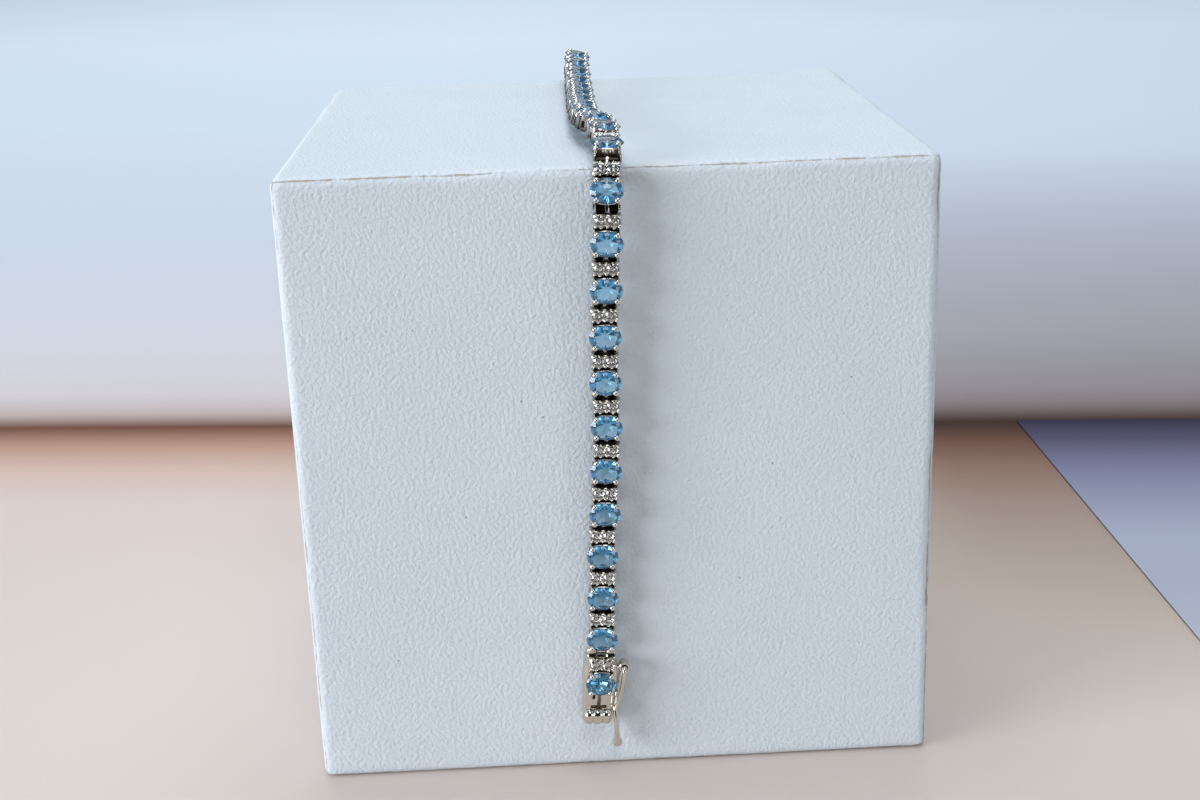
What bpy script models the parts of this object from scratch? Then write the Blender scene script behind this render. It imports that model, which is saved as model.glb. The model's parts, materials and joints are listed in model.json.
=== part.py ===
"""Tennis bracelet of oval topaz and small round diamonds, hung open over a display block.

Metres, +Z up, +X to the right, the front face of the block towards -Y. The origin is the middle
of the block's underside. A link's own frame has x across the band, y along it towards the hidden
tongue, and z out of the band's face, with z = 0 at the back of the link and y = 0 at the middle
of its oval stone.
"""
import math
import random

import bmesh
import bpy
from mathutils import Matrix, Vector

MM = 0.001

# How far a cutter reaches past what it cuts, and when points and faces count as one
CUT_REACH = 3.0 * MM
SAME_PLACE = 0.0005 * MM
FLAT_ANGLE = math.radians(0.5)

# Display block
BLOCK_WIDTH = 80.0 * MM
BLOCK_DEPTH = 76.0 * MM
BLOCK_HEIGHT = 80.0 * MM
BLOCK_EDGE_RADIUS = 1.2 * MM
BLOCK_EDGE_STEPS = 2

# Oval topaz
TOPAZ_WIDTH = 4.0 * MM
TOPAZ_LENGTH = 3.0 * MM
TOPAZ_CROWN = 0.55 * MM
TOPAZ_PAVILION = 1.35 * MM
TOPAZ_TABLE_SHARE = 0.58
TOPAZ_FACETS = 12
GIRDLE_HEIGHT = 2.1 * MM
SEAT_CLEARANCE = 0.1 * MM
SEAT_FLOOR_SHARE = 0.12

# Link frame: an open basket for the oval and a bar for two diamonds
FRAME_WIDTH = 3.3 * MM
FRAME_WALL = 0.4 * MM
END_TAPER = 0.2 * MM
BASKET_MARGIN = 0.1 * MM
NECK_LENGTH = 0.15 * MM
NECK_HEIGHT = 1.3 * MM
BAR_LENGTH = 1.85 * MM
HINGE_GAP = 0.58 * MM
WINDOW_SILL = 0.4 * MM
WINDOW_HEIGHT = 0.75 * MM
WINDOW_LENGTH = 1.6 * MM

# Ball-tipped prongs at the corners of the oval
PRONG_ANGLE = math.radians(51.0)
PRONG_RADIUS = 0.17 * MM
PRONG_BALL_RADIUS = 0.32 * MM
PRONG_BALL_HEIGHT = 0.56 * MM
PRONG_BALL_WIDEST = 0.45
PRONG_BALL_CROWN = 0.55
PRONG_SIDES = 4

# Round diamonds, fused to their bar
DIAMOND_RADIUS = 0.72 * MM
DIAMOND_CROWN = 0.22 * MM
DIAMOND_SPACING = 1.55 * MM
DIAMOND_TABLE_SHARE = 0.56
DIAMOND_FOOT_SHARE = 0.8
DIAMOND_FACETS = 8

# Centre lug between links, on the hinge line
HINGE_HEIGHT = 0.6 * MM
LUG_WIDTH = 1.0 * MM
LUG_THICKNESS = 0.7 * MM
LUG_STUB = 0.08 * MM
LUG_MEETING_GAP = 0.15 * MM

# Eye of the end links and the pin it turns on
PIN_RADIUS = 0.16 * MM
PIN_SIDES = 6
EYE_HOLE_RADIUS = 0.28 * MM
EYE_RADIUS = 0.46 * MM
EYE_REACH = 0.7 * MM
EYE_SIDES = 10
EYE_CLEARANCE = 0.15 * MM
EAR_COVER = 0.15 * MM

# Clasp box
BOX_WIDTH = 3.5 * MM
BOX_TOP = 1.6 * MM
BOX_SIDE_DRAFT = 0.25 * MM
BOX_PLATE_LENGTH = 2.2 * MM
BOX_FLOOR = 0.35 * MM
LOBE_LENGTH = 2.2 * MM
LOBE_BAR_WIDTH = 3.7 * MM
LOBE_HEIGHT = 2.2 * MM
LOBE_COUNT = 3
LOBE_OVERLAP = 1.22
LOBE_SIDES = 12
LOBE_RINGS = 6
T_STEM_WIDTH = 0.45 * MM
T_HEAD_WIDTH = 1.5 * MM
T_HEAD_LENGTH = 0.45 * MM
T_HEAD_SETBACK = 0.1 * MM
CLASP_TURN = math.radians(8.0)
CLASP_LEAN = math.radians(-1.5)
CLASP_YAW = math.radians(-6.0)

# Folded tongue on the other end
TONGUE_WIDTH = 2.1 * MM
TONGUE_LENGTH = 4.4 * MM
TONGUE_LEAF = 0.2 * MM
TONGUE_OPENING = 0.7 * MM
TONGUE_CLEARANCE = 0.15 * MM
TONGUE_BLOCK_LENGTH = 1.6 * MM
THUMB_LENGTH = 0.7 * MM
STUD_RADIUS = 0.3 * MM
STUD_REACH = 0.9 * MM
STUD_NECK_SHARE = 0.6
STUD_SIDES = 8
STUD_RINGS = 6

# Safety lever: a figure-eight wire in a tube at the side of the clasp box
TUBE_OUT = 3.0 * MM
TUBE_UP = 2.5 * MM
TUBE_RADIUS = 0.7 * MM
TUBE_HOLE_RADIUS = 0.42 * MM
TUBE_LENGTH = 1.5 * MM
TUBE_BACK = 1.1 * MM
TUBE_SIDES = 12
WIRE_RADIUS = 0.28 * MM
WIRE_SIDES = 6
WIRE_CLEARANCE = 0.12 * MM
WIRE_GAP = 0.06 * MM
LEVER_STEPS = 7
LEVER_WAIST_DOWN = 6.2 * MM
LEVER_WAIST_IN = 0.7 * MM
LEVER_TIP_DOWN = 10.9 * MM
LEVER_TIP_IN = 0.35 * MM
LEVER_BULGE = 0.32 * MM
LEVER_LOOP_HALF = 0.4 * MM
LEVER_SHOULDER_BENDS = 1.1
LEVER_BALL_RADIUS = 0.66 * MM
LEVER_WAIST_RADIUS = 0.42 * MM
LEVER_SIDES = 10
LEVER_RINGS = 7

# The run of links over the block. Side of the block, share of the top's depth or distance below
# the top, how far the hinge line stands off that side, place across the block, and roll in degrees.
LINK_COUNT = 30
FRONT_LINKS = 18
LINK_SWAY = 0.10 * MM
LINK_YAW = math.radians(1.4)
ROUTE = [
    ("front", 62.3 * MM, 1.15 * MM, -2.75 * MM, 0.0),
    ("front", 55.0 * MM, 1.15 * MM, -2.45 * MM, 0.0),
    ("front", 45.0 * MM, 1.35 * MM, -2.05 * MM, 0.0),
    ("front", 33.0 * MM, 1.75 * MM, -1.30 * MM, 0.0),
    ("front", 20.0 * MM, 2.10 * MM, -1.05 * MM, 0.0),
    ("front", 10.0 * MM, 2.40 * MM, -0.65 * MM, 0.0),
    ("front", 4.2 * MM, 2.55 * MM, -0.35 * MM, 0.0),
    ("top", -0.004, 1.00 * MM, -0.05 * MM, 1.0),
    ("top", 0.070, 2.10 * MM, 0.05 * MM, 4.0),
    ("top", 0.145, 2.50 * MM, -0.60 * MM, 10.0),
    ("top", 0.235, 2.30 * MM, -1.95 * MM, 17.0),
    ("top", 0.400, 1.50 * MM, -2.30 * MM, 20.0),
    ("top", 0.650, 1.50 * MM, -2.20 * MM, 20.0),
    ("top", 0.860, 2.70 * MM, -1.90 * MM, 16.0),
    ("top", 0.965, 3.20 * MM, -1.60 * MM, 10.0),
    ("back", -1.6 * MM, 2.00 * MM, -1.40 * MM, 5.0),
    ("back", 5.5 * MM, 2.50 * MM, -1.20 * MM, 0.0),
    ("back", 14.0 * MM, 1.30 * MM, -1.20 * MM, 0.0),
    ("back", 30.0 * MM, 0.80 * MM, -1.20 * MM, 0.0),
    ("back", 70.0 * MM, 0.80 * MM, -1.20 * MM, 0.0),
]
ROUTE_STEPS = 60

# Places worked out from the sizes above
BASKET_HALF = TOPAZ_LENGTH / 2 + BASKET_MARGIN
BAR_START = BASKET_HALF + NECK_LENGTH
BAR_END = BAR_START + BAR_LENGTH
PITCH = BASKET_HALF + BAR_END + HINGE_GAP
LOWER_HINGE = -BASKET_HALF - HINGE_GAP / 2
UPPER_HINGE = BAR_END + HINGE_GAP / 2
FRAME_TOP = GIRDLE_HEIGHT - SEAT_CLEARANCE
PRONG_TOP = GIRDLE_HEIGHT + TOPAZ_CROWN + SEAT_CLEARANCE
PLATE_END = -BASKET_HALF - BOX_PLATE_LENGTH
BOX_END = PLATE_END - LOBE_LENGTH
BOX_PIN = BAR_END + EYE_RADIUS + EYE_CLEARANCE
EAR_REACH = PIN_RADIUS + EAR_COVER
SLOT_WIDTH = TONGUE_WIDTH + 2 * TONGUE_CLEARANCE
SLOT_HEIGHT = TONGUE_OPENING + TONGUE_CLEARANCE
SLOT_LENGTH = TONGUE_LENGTH + TONGUE_CLEARANCE


def make_material(name, colour, roughness, metallic):
    """Return a Principled material with one colour."""
    material = bpy.data.materials.new(name)
    material.use_nodes = True
    shader = material.node_tree.nodes["Principled BSDF"]
    shader.inputs["Base Color"].default_value = (*colour, 1.0)
    shader.inputs["Roughness"].default_value = roughness
    shader.inputs["Metallic"].default_value = metallic
    material.diffuse_color = (*colour, 1.0)
    return material


def mesh_from(name, points, faces):
    """Return a mesh of points and faces whose faces all point out."""
    mesh = bpy.data.meshes.new(name)
    mesh.from_pydata([tuple(point) for point in points], [], faces)
    work = bmesh.new()
    work.from_mesh(mesh)
    bmesh.ops.recalc_face_normals(work, faces=work.faces)
    work.to_mesh(mesh)
    work.free()
    return mesh


def add_object(name, mesh, material=None):
    """Put a mesh into the scene as an object."""
    item = bpy.data.objects.new(name, mesh)
    bpy.context.scene.collection.objects.link(item)
    if material is not None:
        mesh.materials.clear()
        mesh.materials.append(material)
    return item


def loft(name, rings):
    """Return a closed mesh through rings of equally many points, with flat ends."""
    count = len(rings[0])
    points = [point for ring in rings for point in ring]
    faces = [list(range(count)), list(range(len(points) - count, len(points)))]
    for level in range(len(rings) - 1):
        for side in range(count):
            after = (side + 1) % count
            low = level * count
            faces.append([low + side, low + after, low + count + after, low + count + side])
    return mesh_from(name, points, faces)


def ring_points(centre, radius_x, radius_y, height, count, start=0.0):
    """Return points on a level ellipse."""
    turn = 2 * math.pi / count
    return [
        Vector((
            centre[0] + radius_x * math.cos(start + side * turn),
            centre[1] + radius_y * math.sin(start + side * turn),
            height,
        ))
        for side in range(count)
    ]


def box_mesh(name, low, high):
    """Return a box between two corners."""
    rings = [
        [
            Vector((low[0], low[1], height)),
            Vector((high[0], low[1], height)),
            Vector((high[0], high[1], height)),
            Vector((low[0], high[1], height)),
        ]
        for height in (low[2], high[2])
    ]
    return loft(name, rings)


def side_profile(name, outline, half_width, draft=0.0):
    """Return an outline in y and z carried across x; draft widens it at the back of the link."""
    top = max(height for _, height in outline)
    rings = []
    for side in (-1, 1):
        rings.append([
            Vector((side * (half_width + draft * (1 - height / top)), along, height))
            for along, height in outline
        ])
    return loft(name, rings)


def rod(name, start, end, radius, sides, hole=0.0):
    """Return a round rod between two points, or a tube where it has a hole."""
    start, end = Vector(start), Vector(end)
    spin = (end - start).to_track_quat("Z", "Y").to_matrix()
    circle = ring_points((0, 0), 1, 1, 0, sides, math.pi / sides)
    outer = [[place + spin @ (point * radius) for point in circle] for place in (start, end)]
    if not hole:
        return loft(name, outer)
    inner = [[place + spin @ (point * hole) for point in circle] for place in (start, end)]
    rings = [outer[0], outer[1], inner[1], inner[0]]
    points = [point for ring in rings for point in ring]
    faces = []
    for level in range(4):
        for side in range(sides):
            after = (side + 1) % sides
            here = level * sides
            there = (level + 1) % 4 * sides
            faces.append([here + side, here + after, there + after, there + side])
    return mesh_from(name, points, faces)


def ball(name, centre, radii, sides, rings):
    """Return a round ball or egg, with its poles along z."""
    centre = Vector(centre)
    points = [centre + Vector((0, 0, -radii[2])), centre + Vector((0, 0, radii[2]))]
    for level in range(1, rings):
        tilt = -math.pi / 2 + math.pi * level / rings
        for point in ring_points((0, 0), radii[0], radii[1], 0, sides):
            points.append(centre + point * math.cos(tilt) + Vector((0, 0, radii[2] * math.sin(tilt))))
    faces = []
    for side in range(sides):
        after = (side + 1) % sides
        faces.append([0, 2 + after, 2 + side])
        last = 2 + (rings - 2) * sides
        faces.append([1, last + side, last + after])
        for level in range(rings - 2):
            low = 2 + level * sides
            faces.append([low + side, low + after, low + sides + after, low + sides + side])
    return mesh_from(name, points, faces)


def combine(base, tools):
    """Return the base mesh after each (operation, mesh) in turn, as one mesh."""
    item = add_object("work", base)
    helpers = []
    for number, (operation, mesh) in enumerate(tools):
        helper = add_object(f"tool_{number}", mesh)
        helpers.append(helper)
        step = item.modifiers.new(f"step_{number}", "BOOLEAN")
        step.operation = operation
        step.solver = "EXACT"
        step.object = helper
    graph = bpy.context.evaluated_depsgraph_get()
    result = bpy.data.meshes.new_from_object(item.evaluated_get(graph))
    for spent in [item, *helpers]:
        bpy.data.objects.remove(spent)
    work = bmesh.new()
    work.from_mesh(result)
    bmesh.ops.remove_doubles(work, verts=work.verts, dist=SAME_PLACE)
    bmesh.ops.dissolve_limit(work, angle_limit=FLAT_ANGLE, verts=work.verts, edges=work.edges)
    bmesh.ops.triangulate(work, faces=work.faces)
    work.to_mesh(result)
    work.free()
    return result


def oval_stone(name, width, length, crown, pavilion, table_share, facets, girdle_height):
    """Return a cut oval: a table, a ring of crown facets, and pavilion facets down to the culet."""
    table = ring_points(
        (0, 0), width / 2 * table_share, length / 2 * table_share, girdle_height + crown, facets
    )
    girdle = ring_points((0, 0), width / 2, length / 2, girdle_height, facets)
    points = table + girdle + [Vector((0, 0, girdle_height - pavilion))]
    culet = 2 * facets
    faces = [list(range(facets))]
    for side in range(facets):
        after = (side + 1) % facets
        faces.append([side, after, facets + after, facets + side])
        faces.append([facets + side, facets + after, culet])
    return mesh_from(name, points, faces)


def seat_cutter():
    """Return the cone that the topaz sits in: its pavilion, wider by the seat clearance."""
    rise = PRONG_TOP - GIRDLE_HEIGHT
    spread = 1 + rise / TOPAZ_PAVILION
    half_width = TOPAZ_WIDTH / 2 + SEAT_CLEARANCE
    half_length = TOPAZ_LENGTH / 2 + SEAT_CLEARANCE
    floor = GIRDLE_HEIGHT - TOPAZ_PAVILION * (1 - SEAT_FLOOR_SHARE)
    rings = []
    for share, height in ((SEAT_FLOOR_SHARE, floor), (spread, PRONG_TOP)):
        rings.append(ring_points((0, 0), half_width * share, half_length * share, height, TOPAZ_FACETS))
    return loft("seat", rings)


def prong_meshes():
    """Return four ball-tipped prongs that stand just outside the stone and lean over its crown."""
    on_x = TOPAZ_WIDTH / 2 * math.cos(PRONG_ANGLE)
    on_y = TOPAZ_LENGTH / 2 * math.sin(PRONG_ANGLE)
    normal = Vector((on_x / (TOPAZ_WIDTH / 2) ** 2, on_y / (TOPAZ_LENGTH / 2) ** 2, 0)).normalized()
    stem_out = PRONG_RADIUS + SEAT_CLEARANCE
    prongs = []
    for side_x in (-1, 1):
        for side_y in (-1, 1):
            stem = (
                side_x * (on_x + normal.x * stem_out),
                side_y * (on_y + normal.y * stem_out),
            )
            tip = (side_x * on_x, side_y * on_y)
            levels = [
                (stem, PRONG_RADIUS, FRAME_TOP - PRONG_RADIUS),
                (stem, PRONG_RADIUS, PRONG_TOP - PRONG_BALL_HEIGHT),
                (tip, PRONG_BALL_RADIUS, PRONG_TOP - PRONG_BALL_WIDEST * PRONG_BALL_HEIGHT),
                (tip, PRONG_BALL_CROWN * PRONG_BALL_RADIUS, PRONG_TOP),
            ]
            rings = [
                ring_points(centre, radius, radius, height, PRONG_SIDES, math.pi / PRONG_SIDES)
                for centre, radius, height in levels
            ]
            prongs.append(loft("prong", rings))
    return prongs


def diamond_meshes():
    """Return the two round stones of a bar, sunk a little into it so that they fuse."""
    middle = (BAR_START + BAR_END) / 2
    stones = []
    for side in (-1, 1):
        centre = (side * DIAMOND_SPACING / 2, middle)
        levels = [
            (DIAMOND_FOOT_SHARE * DIAMOND_RADIUS, FRAME_TOP - DIAMOND_CROWN),
            (DIAMOND_RADIUS, FRAME_TOP),
            (DIAMOND_TABLE_SHARE * DIAMOND_RADIUS, FRAME_TOP + DIAMOND_CROWN),
        ]
        rings = [
            ring_points(centre, radius, radius, height, DIAMOND_FACETS, math.pi / DIAMOND_FACETS)
            for radius, height in levels
        ]
        stones.append(loft("diamond", rings))
    return stones


def lug_stub(along, end):
    """Return the start of a centre lug, from inside the frame to its end face."""
    half = LUG_THICKNESS / 2
    low = (-LUG_WIDTH / 2, min(along, end), HINGE_HEIGHT - half)
    high = (LUG_WIDTH / 2, max(along, end), HINGE_HEIGHT + half)
    return box_mesh("lug", low, high)


def frame_outline(lower_end, upper_end):
    """Return the side outline of a link's frame, with the groove between basket and bar."""
    return [
        (lower_end + END_TAPER, 0.0),
        (upper_end - END_TAPER, 0.0),
        (upper_end, FRAME_TOP),
        (BAR_START, FRAME_TOP),
        (BAR_START, NECK_HEIGHT),
        (BASKET_HALF, NECK_HEIGHT),
        (BASKET_HALF, FRAME_TOP),
        (lower_end, FRAME_TOP),
    ]


def gallery_cutters():
    """Return the open back under the oval and the windows through the flanks."""
    half_x = FRAME_WIDTH / 2 - FRAME_WALL
    half_y = BASKET_HALF - FRAME_WALL
    deep = GIRDLE_HEIGHT - TOPAZ_PAVILION + 2 * SEAT_CLEARANCE
    window_top = WINDOW_SILL + WINDOW_HEIGHT
    return [
        ("DIFFERENCE", box_mesh("open_back", (-half_x, -half_y, -CUT_REACH), (half_x, half_y, deep))),
        ("DIFFERENCE", seat_cutter()),
        ("DIFFERENCE", box_mesh(
            "window",
            (-FRAME_WIDTH, -WINDOW_LENGTH / 2, WINDOW_SILL),
            (FRAME_WIDTH, WINDOW_LENGTH / 2, window_top),
        )),
    ]


def eye_tools(along, direction):
    """Return the eye that turns on a pin across the band, and its shank, for the end links."""
    half = LUG_WIDTH / 2
    centre_y = along + direction * EYE_REACH
    low_z = HINGE_HEIGHT - LUG_THICKNESS / 2 + SEAT_CLEARANCE
    high_z = HINGE_HEIGHT + LUG_THICKNESS / 2 - SEAT_CLEARANCE
    shank = box_mesh(
        "shank", (-half, min(along, centre_y), low_z), (half, max(along, centre_y), high_z)
    )
    ends = [(side * half, centre_y, HINGE_HEIGHT) for side in (-1, 1)]
    hole_ends = [(side * CUT_REACH, centre_y, HINGE_HEIGHT) for side in (-1, 1)]
    return [
        ("UNION", shank),
        ("UNION", rod("eye", *ends, EYE_RADIUS, EYE_SIDES)),
        ("DIFFERENCE", rod("hole", *hole_ends, EYE_HOLE_RADIUS, EYE_SIDES)),
    ]


def link_mesh(lower_eye=False, upper_eye=False, upper_length=LUG_STUB):
    """Return one link: frame, gallery, prongs, diamonds, and a lug or an eye at each end."""
    base = side_profile("frame", frame_outline(-BASKET_HALF, BAR_END), FRAME_WIDTH / 2)
    tools = gallery_cutters()
    tools += [("UNION", mesh) for mesh in prong_meshes()]
    tools += [("UNION", mesh) for mesh in diamond_meshes()]
    inside = FRAME_WALL / 2
    if lower_eye:
        tools += eye_tools(-BASKET_HALF + inside, -1)
    else:
        tools.append(("UNION", lug_stub(-BASKET_HALF + inside + END_TAPER, -BASKET_HALF - LUG_STUB)))
    if upper_eye:
        tools += eye_tools(BAR_END - inside, 1)
    else:
        tools.append(("UNION", lug_stub(BAR_END - inside - END_TAPER, BAR_END + upper_length)))
    return combine(base, tools)


def route_point(row):
    """Return a row of the route as a point on the hinge line, with its roll."""
    side, along, stand_off, across, roll = row
    if side == "front":
        place = (across, -BLOCK_DEPTH / 2 - stand_off, BLOCK_HEIGHT - along)
    elif side == "top":
        place = (across, -BLOCK_DEPTH / 2 + along * BLOCK_DEPTH, BLOCK_HEIGHT + stand_off)
    else:
        place = (across, BLOCK_DEPTH / 2 + stand_off, BLOCK_HEIGHT - along)
    return Vector((*place, math.radians(roll)))


def smooth_route():
    """Return closely spaced points on a Catmull-Rom curve through the rows of the route."""
    rows = [route_point(row) for row in ROUTE]
    rows = [2 * rows[0] - rows[1], *rows, 2 * rows[-1] - rows[-2]]
    points = []
    for index in range(1, len(rows) - 2):
        a, b, c, d = rows[index - 1:index + 3]
        for step in range(ROUTE_STEPS):
            t = step / ROUTE_STEPS
            square = (2 * a - 5 * b + 4 * c - d) * t ** 2
            cube = (3 * b - a - 3 * c + d) * t ** 3
            points.append((2 * b + (c - a) * t + square + cube) / 2)
    points.append(rows[-2])
    return points


def hinge_points(pitch, count):
    """Return hinges one pitch apart along the route, each with its roll, from the clasp on."""
    route = smooth_route()
    hinges = [route[0]]
    index = 1
    while len(hinges) <= count:
        here = hinges[-1]
        while index < len(route) and (route[index].xyz - here.xyz).length < pitch:
            index += 1
        if index == len(route):
            last = route[-1]
            hinges.append(Vector((last.x, last.y, here.z - pitch, last.w)))
            continue
        before, after = route[index - 1], route[index]
        low, high = 0.0, 1.0
        for _ in range(40):
            middle = (low + high) / 2
            if (before.lerp(after, middle).xyz - here.xyz).length < pitch:
                low = middle
            else:
                high = middle
        hinges.append(before.lerp(after, high))
    return hinges


def link_frame(lower, upper, roll, sideways, yaw):
    """Return a link's place: y from its lower to its upper hinge, z out of the band's face."""
    along = (upper.xyz - lower.xyz).normalized()
    across = Vector((1, 0, 0))
    across = (across - along * across.dot(along)).normalized()
    out = across.cross(along)
    turn = Matrix((across, along, out)).transposed()
    turn = turn @ Matrix.Rotation(roll, 3, "Y") @ Matrix.Rotation(yaw, 3, "Z")
    middle = (lower.xyz + upper.xyz) / 2 + across * sideways
    place = Matrix.Translation(middle) @ turn.to_4x4()
    return place @ Matrix.Translation((0, -(LOWER_HINGE + UPPER_HINGE) / 2, -HINGE_HEIGHT))


def link_frames():
    """Return the place of each link, with the small sway that a loose band has."""
    hinges = hinge_points(PITCH, LINK_COUNT)
    dice = random.Random(4)
    frames = []
    for index in range(LINK_COUNT):
        roll = (hinges[index].w + hinges[index + 1].w) / 2
        sideways = dice.uniform(-LINK_SWAY, LINK_SWAY)
        yaw = dice.uniform(-LINK_YAW, LINK_YAW)
        frames.append(link_frame(hinges[index], hinges[index + 1], roll, sideways, yaw))
    return frames


def end_face(points, along):
    """Return the four corners of a lug's end face, in order round it."""
    close = [index for index, point in enumerate(points) if abs(point.y - along) < 2 * SAME_PLACE]
    corners = []
    for side_x, side_z in ((-1, -1), (1, -1), (1, 1), (-1, 1)):
        corners.append(max(
            close, key=lambda index: side_x * points[index].x + side_z * (points[index].z - HINGE_HEIGHT)
        ))
    return corners


def chain_mesh(name, frames, links):
    """Return a run of links in one body, each upper lug bridged to the next link's lower lug."""
    points, faces = [], []
    below = None
    for number, (frame, link) in enumerate(zip(frames, links)):
        start = len(points)
        own = [vertex.co.copy() for vertex in link.vertices]
        points += [frame @ point for point in own]
        lower = end_face(own, -BASKET_HALF - LUG_STUB) if number else []
        upper = end_face(own, BAR_END + LUG_STUB) if number < len(frames) - 1 else []
        for face in link.polygons:
            corners = set(face.vertices)
            if corners <= set(lower) or corners <= set(upper):
                continue
            faces.append([start + index for index in face.vertices])
        above = [start + index for index in lower]
        for side in range(len(above)):
            after = (side + 1) % len(above)
            faces.append([below[side], below[after], above[after]])
            faces.append([below[side], above[after], above[side]])
        below = [start + index for index in upper]
    return mesh_from(name, points, faces)


def clasp_place(first_frame):
    """Return the clasp box's place: its pin in the first link's eye, hanging a little askew."""
    eye = first_frame @ Vector((0, -BASKET_HALF + FRAME_WALL / 2 - EYE_REACH, HINGE_HEIGHT))
    upright = Matrix(((1, 0, 0), (0, 0, -1), (0, 1, 0)))
    turn = upright @ Matrix.Rotation(CLASP_YAW, 3, "Z")
    turn = turn @ Matrix.Rotation(CLASP_LEAN, 3, "X") @ Matrix.Rotation(CLASP_TURN, 3, "Y")
    pin = Vector((0, BOX_PIN, HINGE_HEIGHT))
    return Matrix.Translation(eye) @ turn.to_4x4() @ Matrix.Translation(-pin)


def tongue_place(last_frame):
    """Return the tongue's place: its pin in the last link's eye, the tongue hanging on."""
    eye = last_frame @ Vector((0, BAR_END - FRAME_WALL / 2 + EYE_REACH, HINGE_HEIGHT))
    turn = last_frame.to_3x3()
    return Matrix.Translation(eye) @ turn.to_4x4() @ Matrix.Translation((0, 0, -HINGE_HEIGHT))


def pin_pocket(low_y, high_y):
    """Return the cutter of a pocket that takes an eye, open at both faces of the band."""
    half = LUG_WIDTH / 2 + EYE_CLEARANCE
    return ("DIFFERENCE", box_mesh("pocket", (-half, low_y, -CUT_REACH), (half, high_y, CUT_REACH)))


def cross_pin(along, half_width):
    """Return the pin across a pocket."""
    ends = [(side * half_width, along, HINGE_HEIGHT) for side in (-1, 1)]
    return ("UNION", rod("pin", *ends, PIN_RADIUS, PIN_SIDES))


def clasp_box_mesh(tube_frame):
    """Return the box end: ears and pin, diamond bar, basket, plate with T slot, lobes and tube."""
    ear_end = BOX_PIN + EAR_REACH
    outline = [
        (PLATE_END - LOBE_LENGTH / 2, 0.0),
        (ear_end - END_TAPER, 0.0),
        (ear_end, HINGE_HEIGHT + LUG_THICKNESS / 2),
        (BAR_END, BOX_TOP),
        (BAR_END, FRAME_TOP),
        (BAR_START, FRAME_TOP),
        (BAR_START, BOX_TOP),
        (BASKET_HALF, BOX_TOP),
        (BASKET_HALF, FRAME_TOP),
        (-BASKET_HALF, FRAME_TOP),
        (-BASKET_HALF, BOX_TOP),
        (PLATE_END - LOBE_LENGTH / 2, BOX_TOP),
    ]
    base = side_profile("box", outline, BOX_WIDTH / 2, BOX_SIDE_DRAFT)
    tools = [("DIFFERENCE", seat_cutter())]
    lobe_width = LOBE_BAR_WIDTH / LOBE_COUNT
    lobe_middle = PLATE_END - LOBE_LENGTH / 2
    for number in range(LOBE_COUNT):
        across = (number - (LOBE_COUNT - 1) / 2) * lobe_width
        radii = (LOBE_OVERLAP * lobe_width / 2, LOBE_LENGTH / 2, LOBE_HEIGHT / 2)
        lobe = ball("lobe", (across, lobe_middle, LOBE_HEIGHT / 2), radii, LOBE_SIDES, LOBE_RINGS)
        tools.append(("UNION", lobe))
    slot_inner = BOX_END + SLOT_LENGTH
    slot_top = BOX_FLOOR + SLOT_HEIGHT
    tools.append(("DIFFERENCE", box_mesh(
        "tongue_slot",
        (-SLOT_WIDTH / 2, BOX_END - CUT_REACH, BOX_FLOOR),
        (SLOT_WIDTH / 2, slot_inner, slot_top),
    )))
    stem = T_STEM_WIDTH / 2
    head = T_HEAD_WIDTH / 2
    head_low = PLATE_END + T_HEAD_SETBACK
    cut_low = slot_top - TONGUE_CLEARANCE
    tools.append(("DIFFERENCE", box_mesh(
        "t_stem", (-stem, PLATE_END, cut_low), (stem, -BASKET_HALF, CUT_REACH)
    )))
    tools.append(("DIFFERENCE", box_mesh(
        "t_head", (-head, head_low, cut_low), (head, head_low + T_HEAD_LENGTH, CUT_REACH)
    )))
    tools += [("UNION", mesh) for mesh in prong_meshes()]
    tools += [("UNION", mesh) for mesh in diamond_meshes()]
    tools.append(pin_pocket(BAR_END, ear_end + CUT_REACH))
    tools.append(cross_pin(BOX_PIN, LUG_WIDTH))
    tube_low = tube_frame @ Vector((0, 0, 0))
    tube_high = tube_frame @ Vector((0, 0, TUBE_LENGTH))
    middle = (tube_low + tube_high) / 2
    arm = box_mesh(
        "arm",
        (BOX_WIDTH / 2 - FRAME_WALL, middle.y - TUBE_RADIUS / 2, middle.z - TUBE_LENGTH / 3),
        (middle.x, middle.y + TUBE_RADIUS / 2, middle.z + TUBE_LENGTH / 3),
    )
    tools.append(("UNION", arm))
    tools.append(("UNION", rod("tube", tube_low, tube_high, TUBE_RADIUS, TUBE_SIDES)))
    spread = (tube_high - tube_low).normalized() * CUT_REACH
    tools.append(("DIFFERENCE", rod(
        "tube_hole", tube_low - spread, tube_high + spread, TUBE_HOLE_RADIUS, TUBE_SIDES
    )))
    return combine(base, tools)


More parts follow.
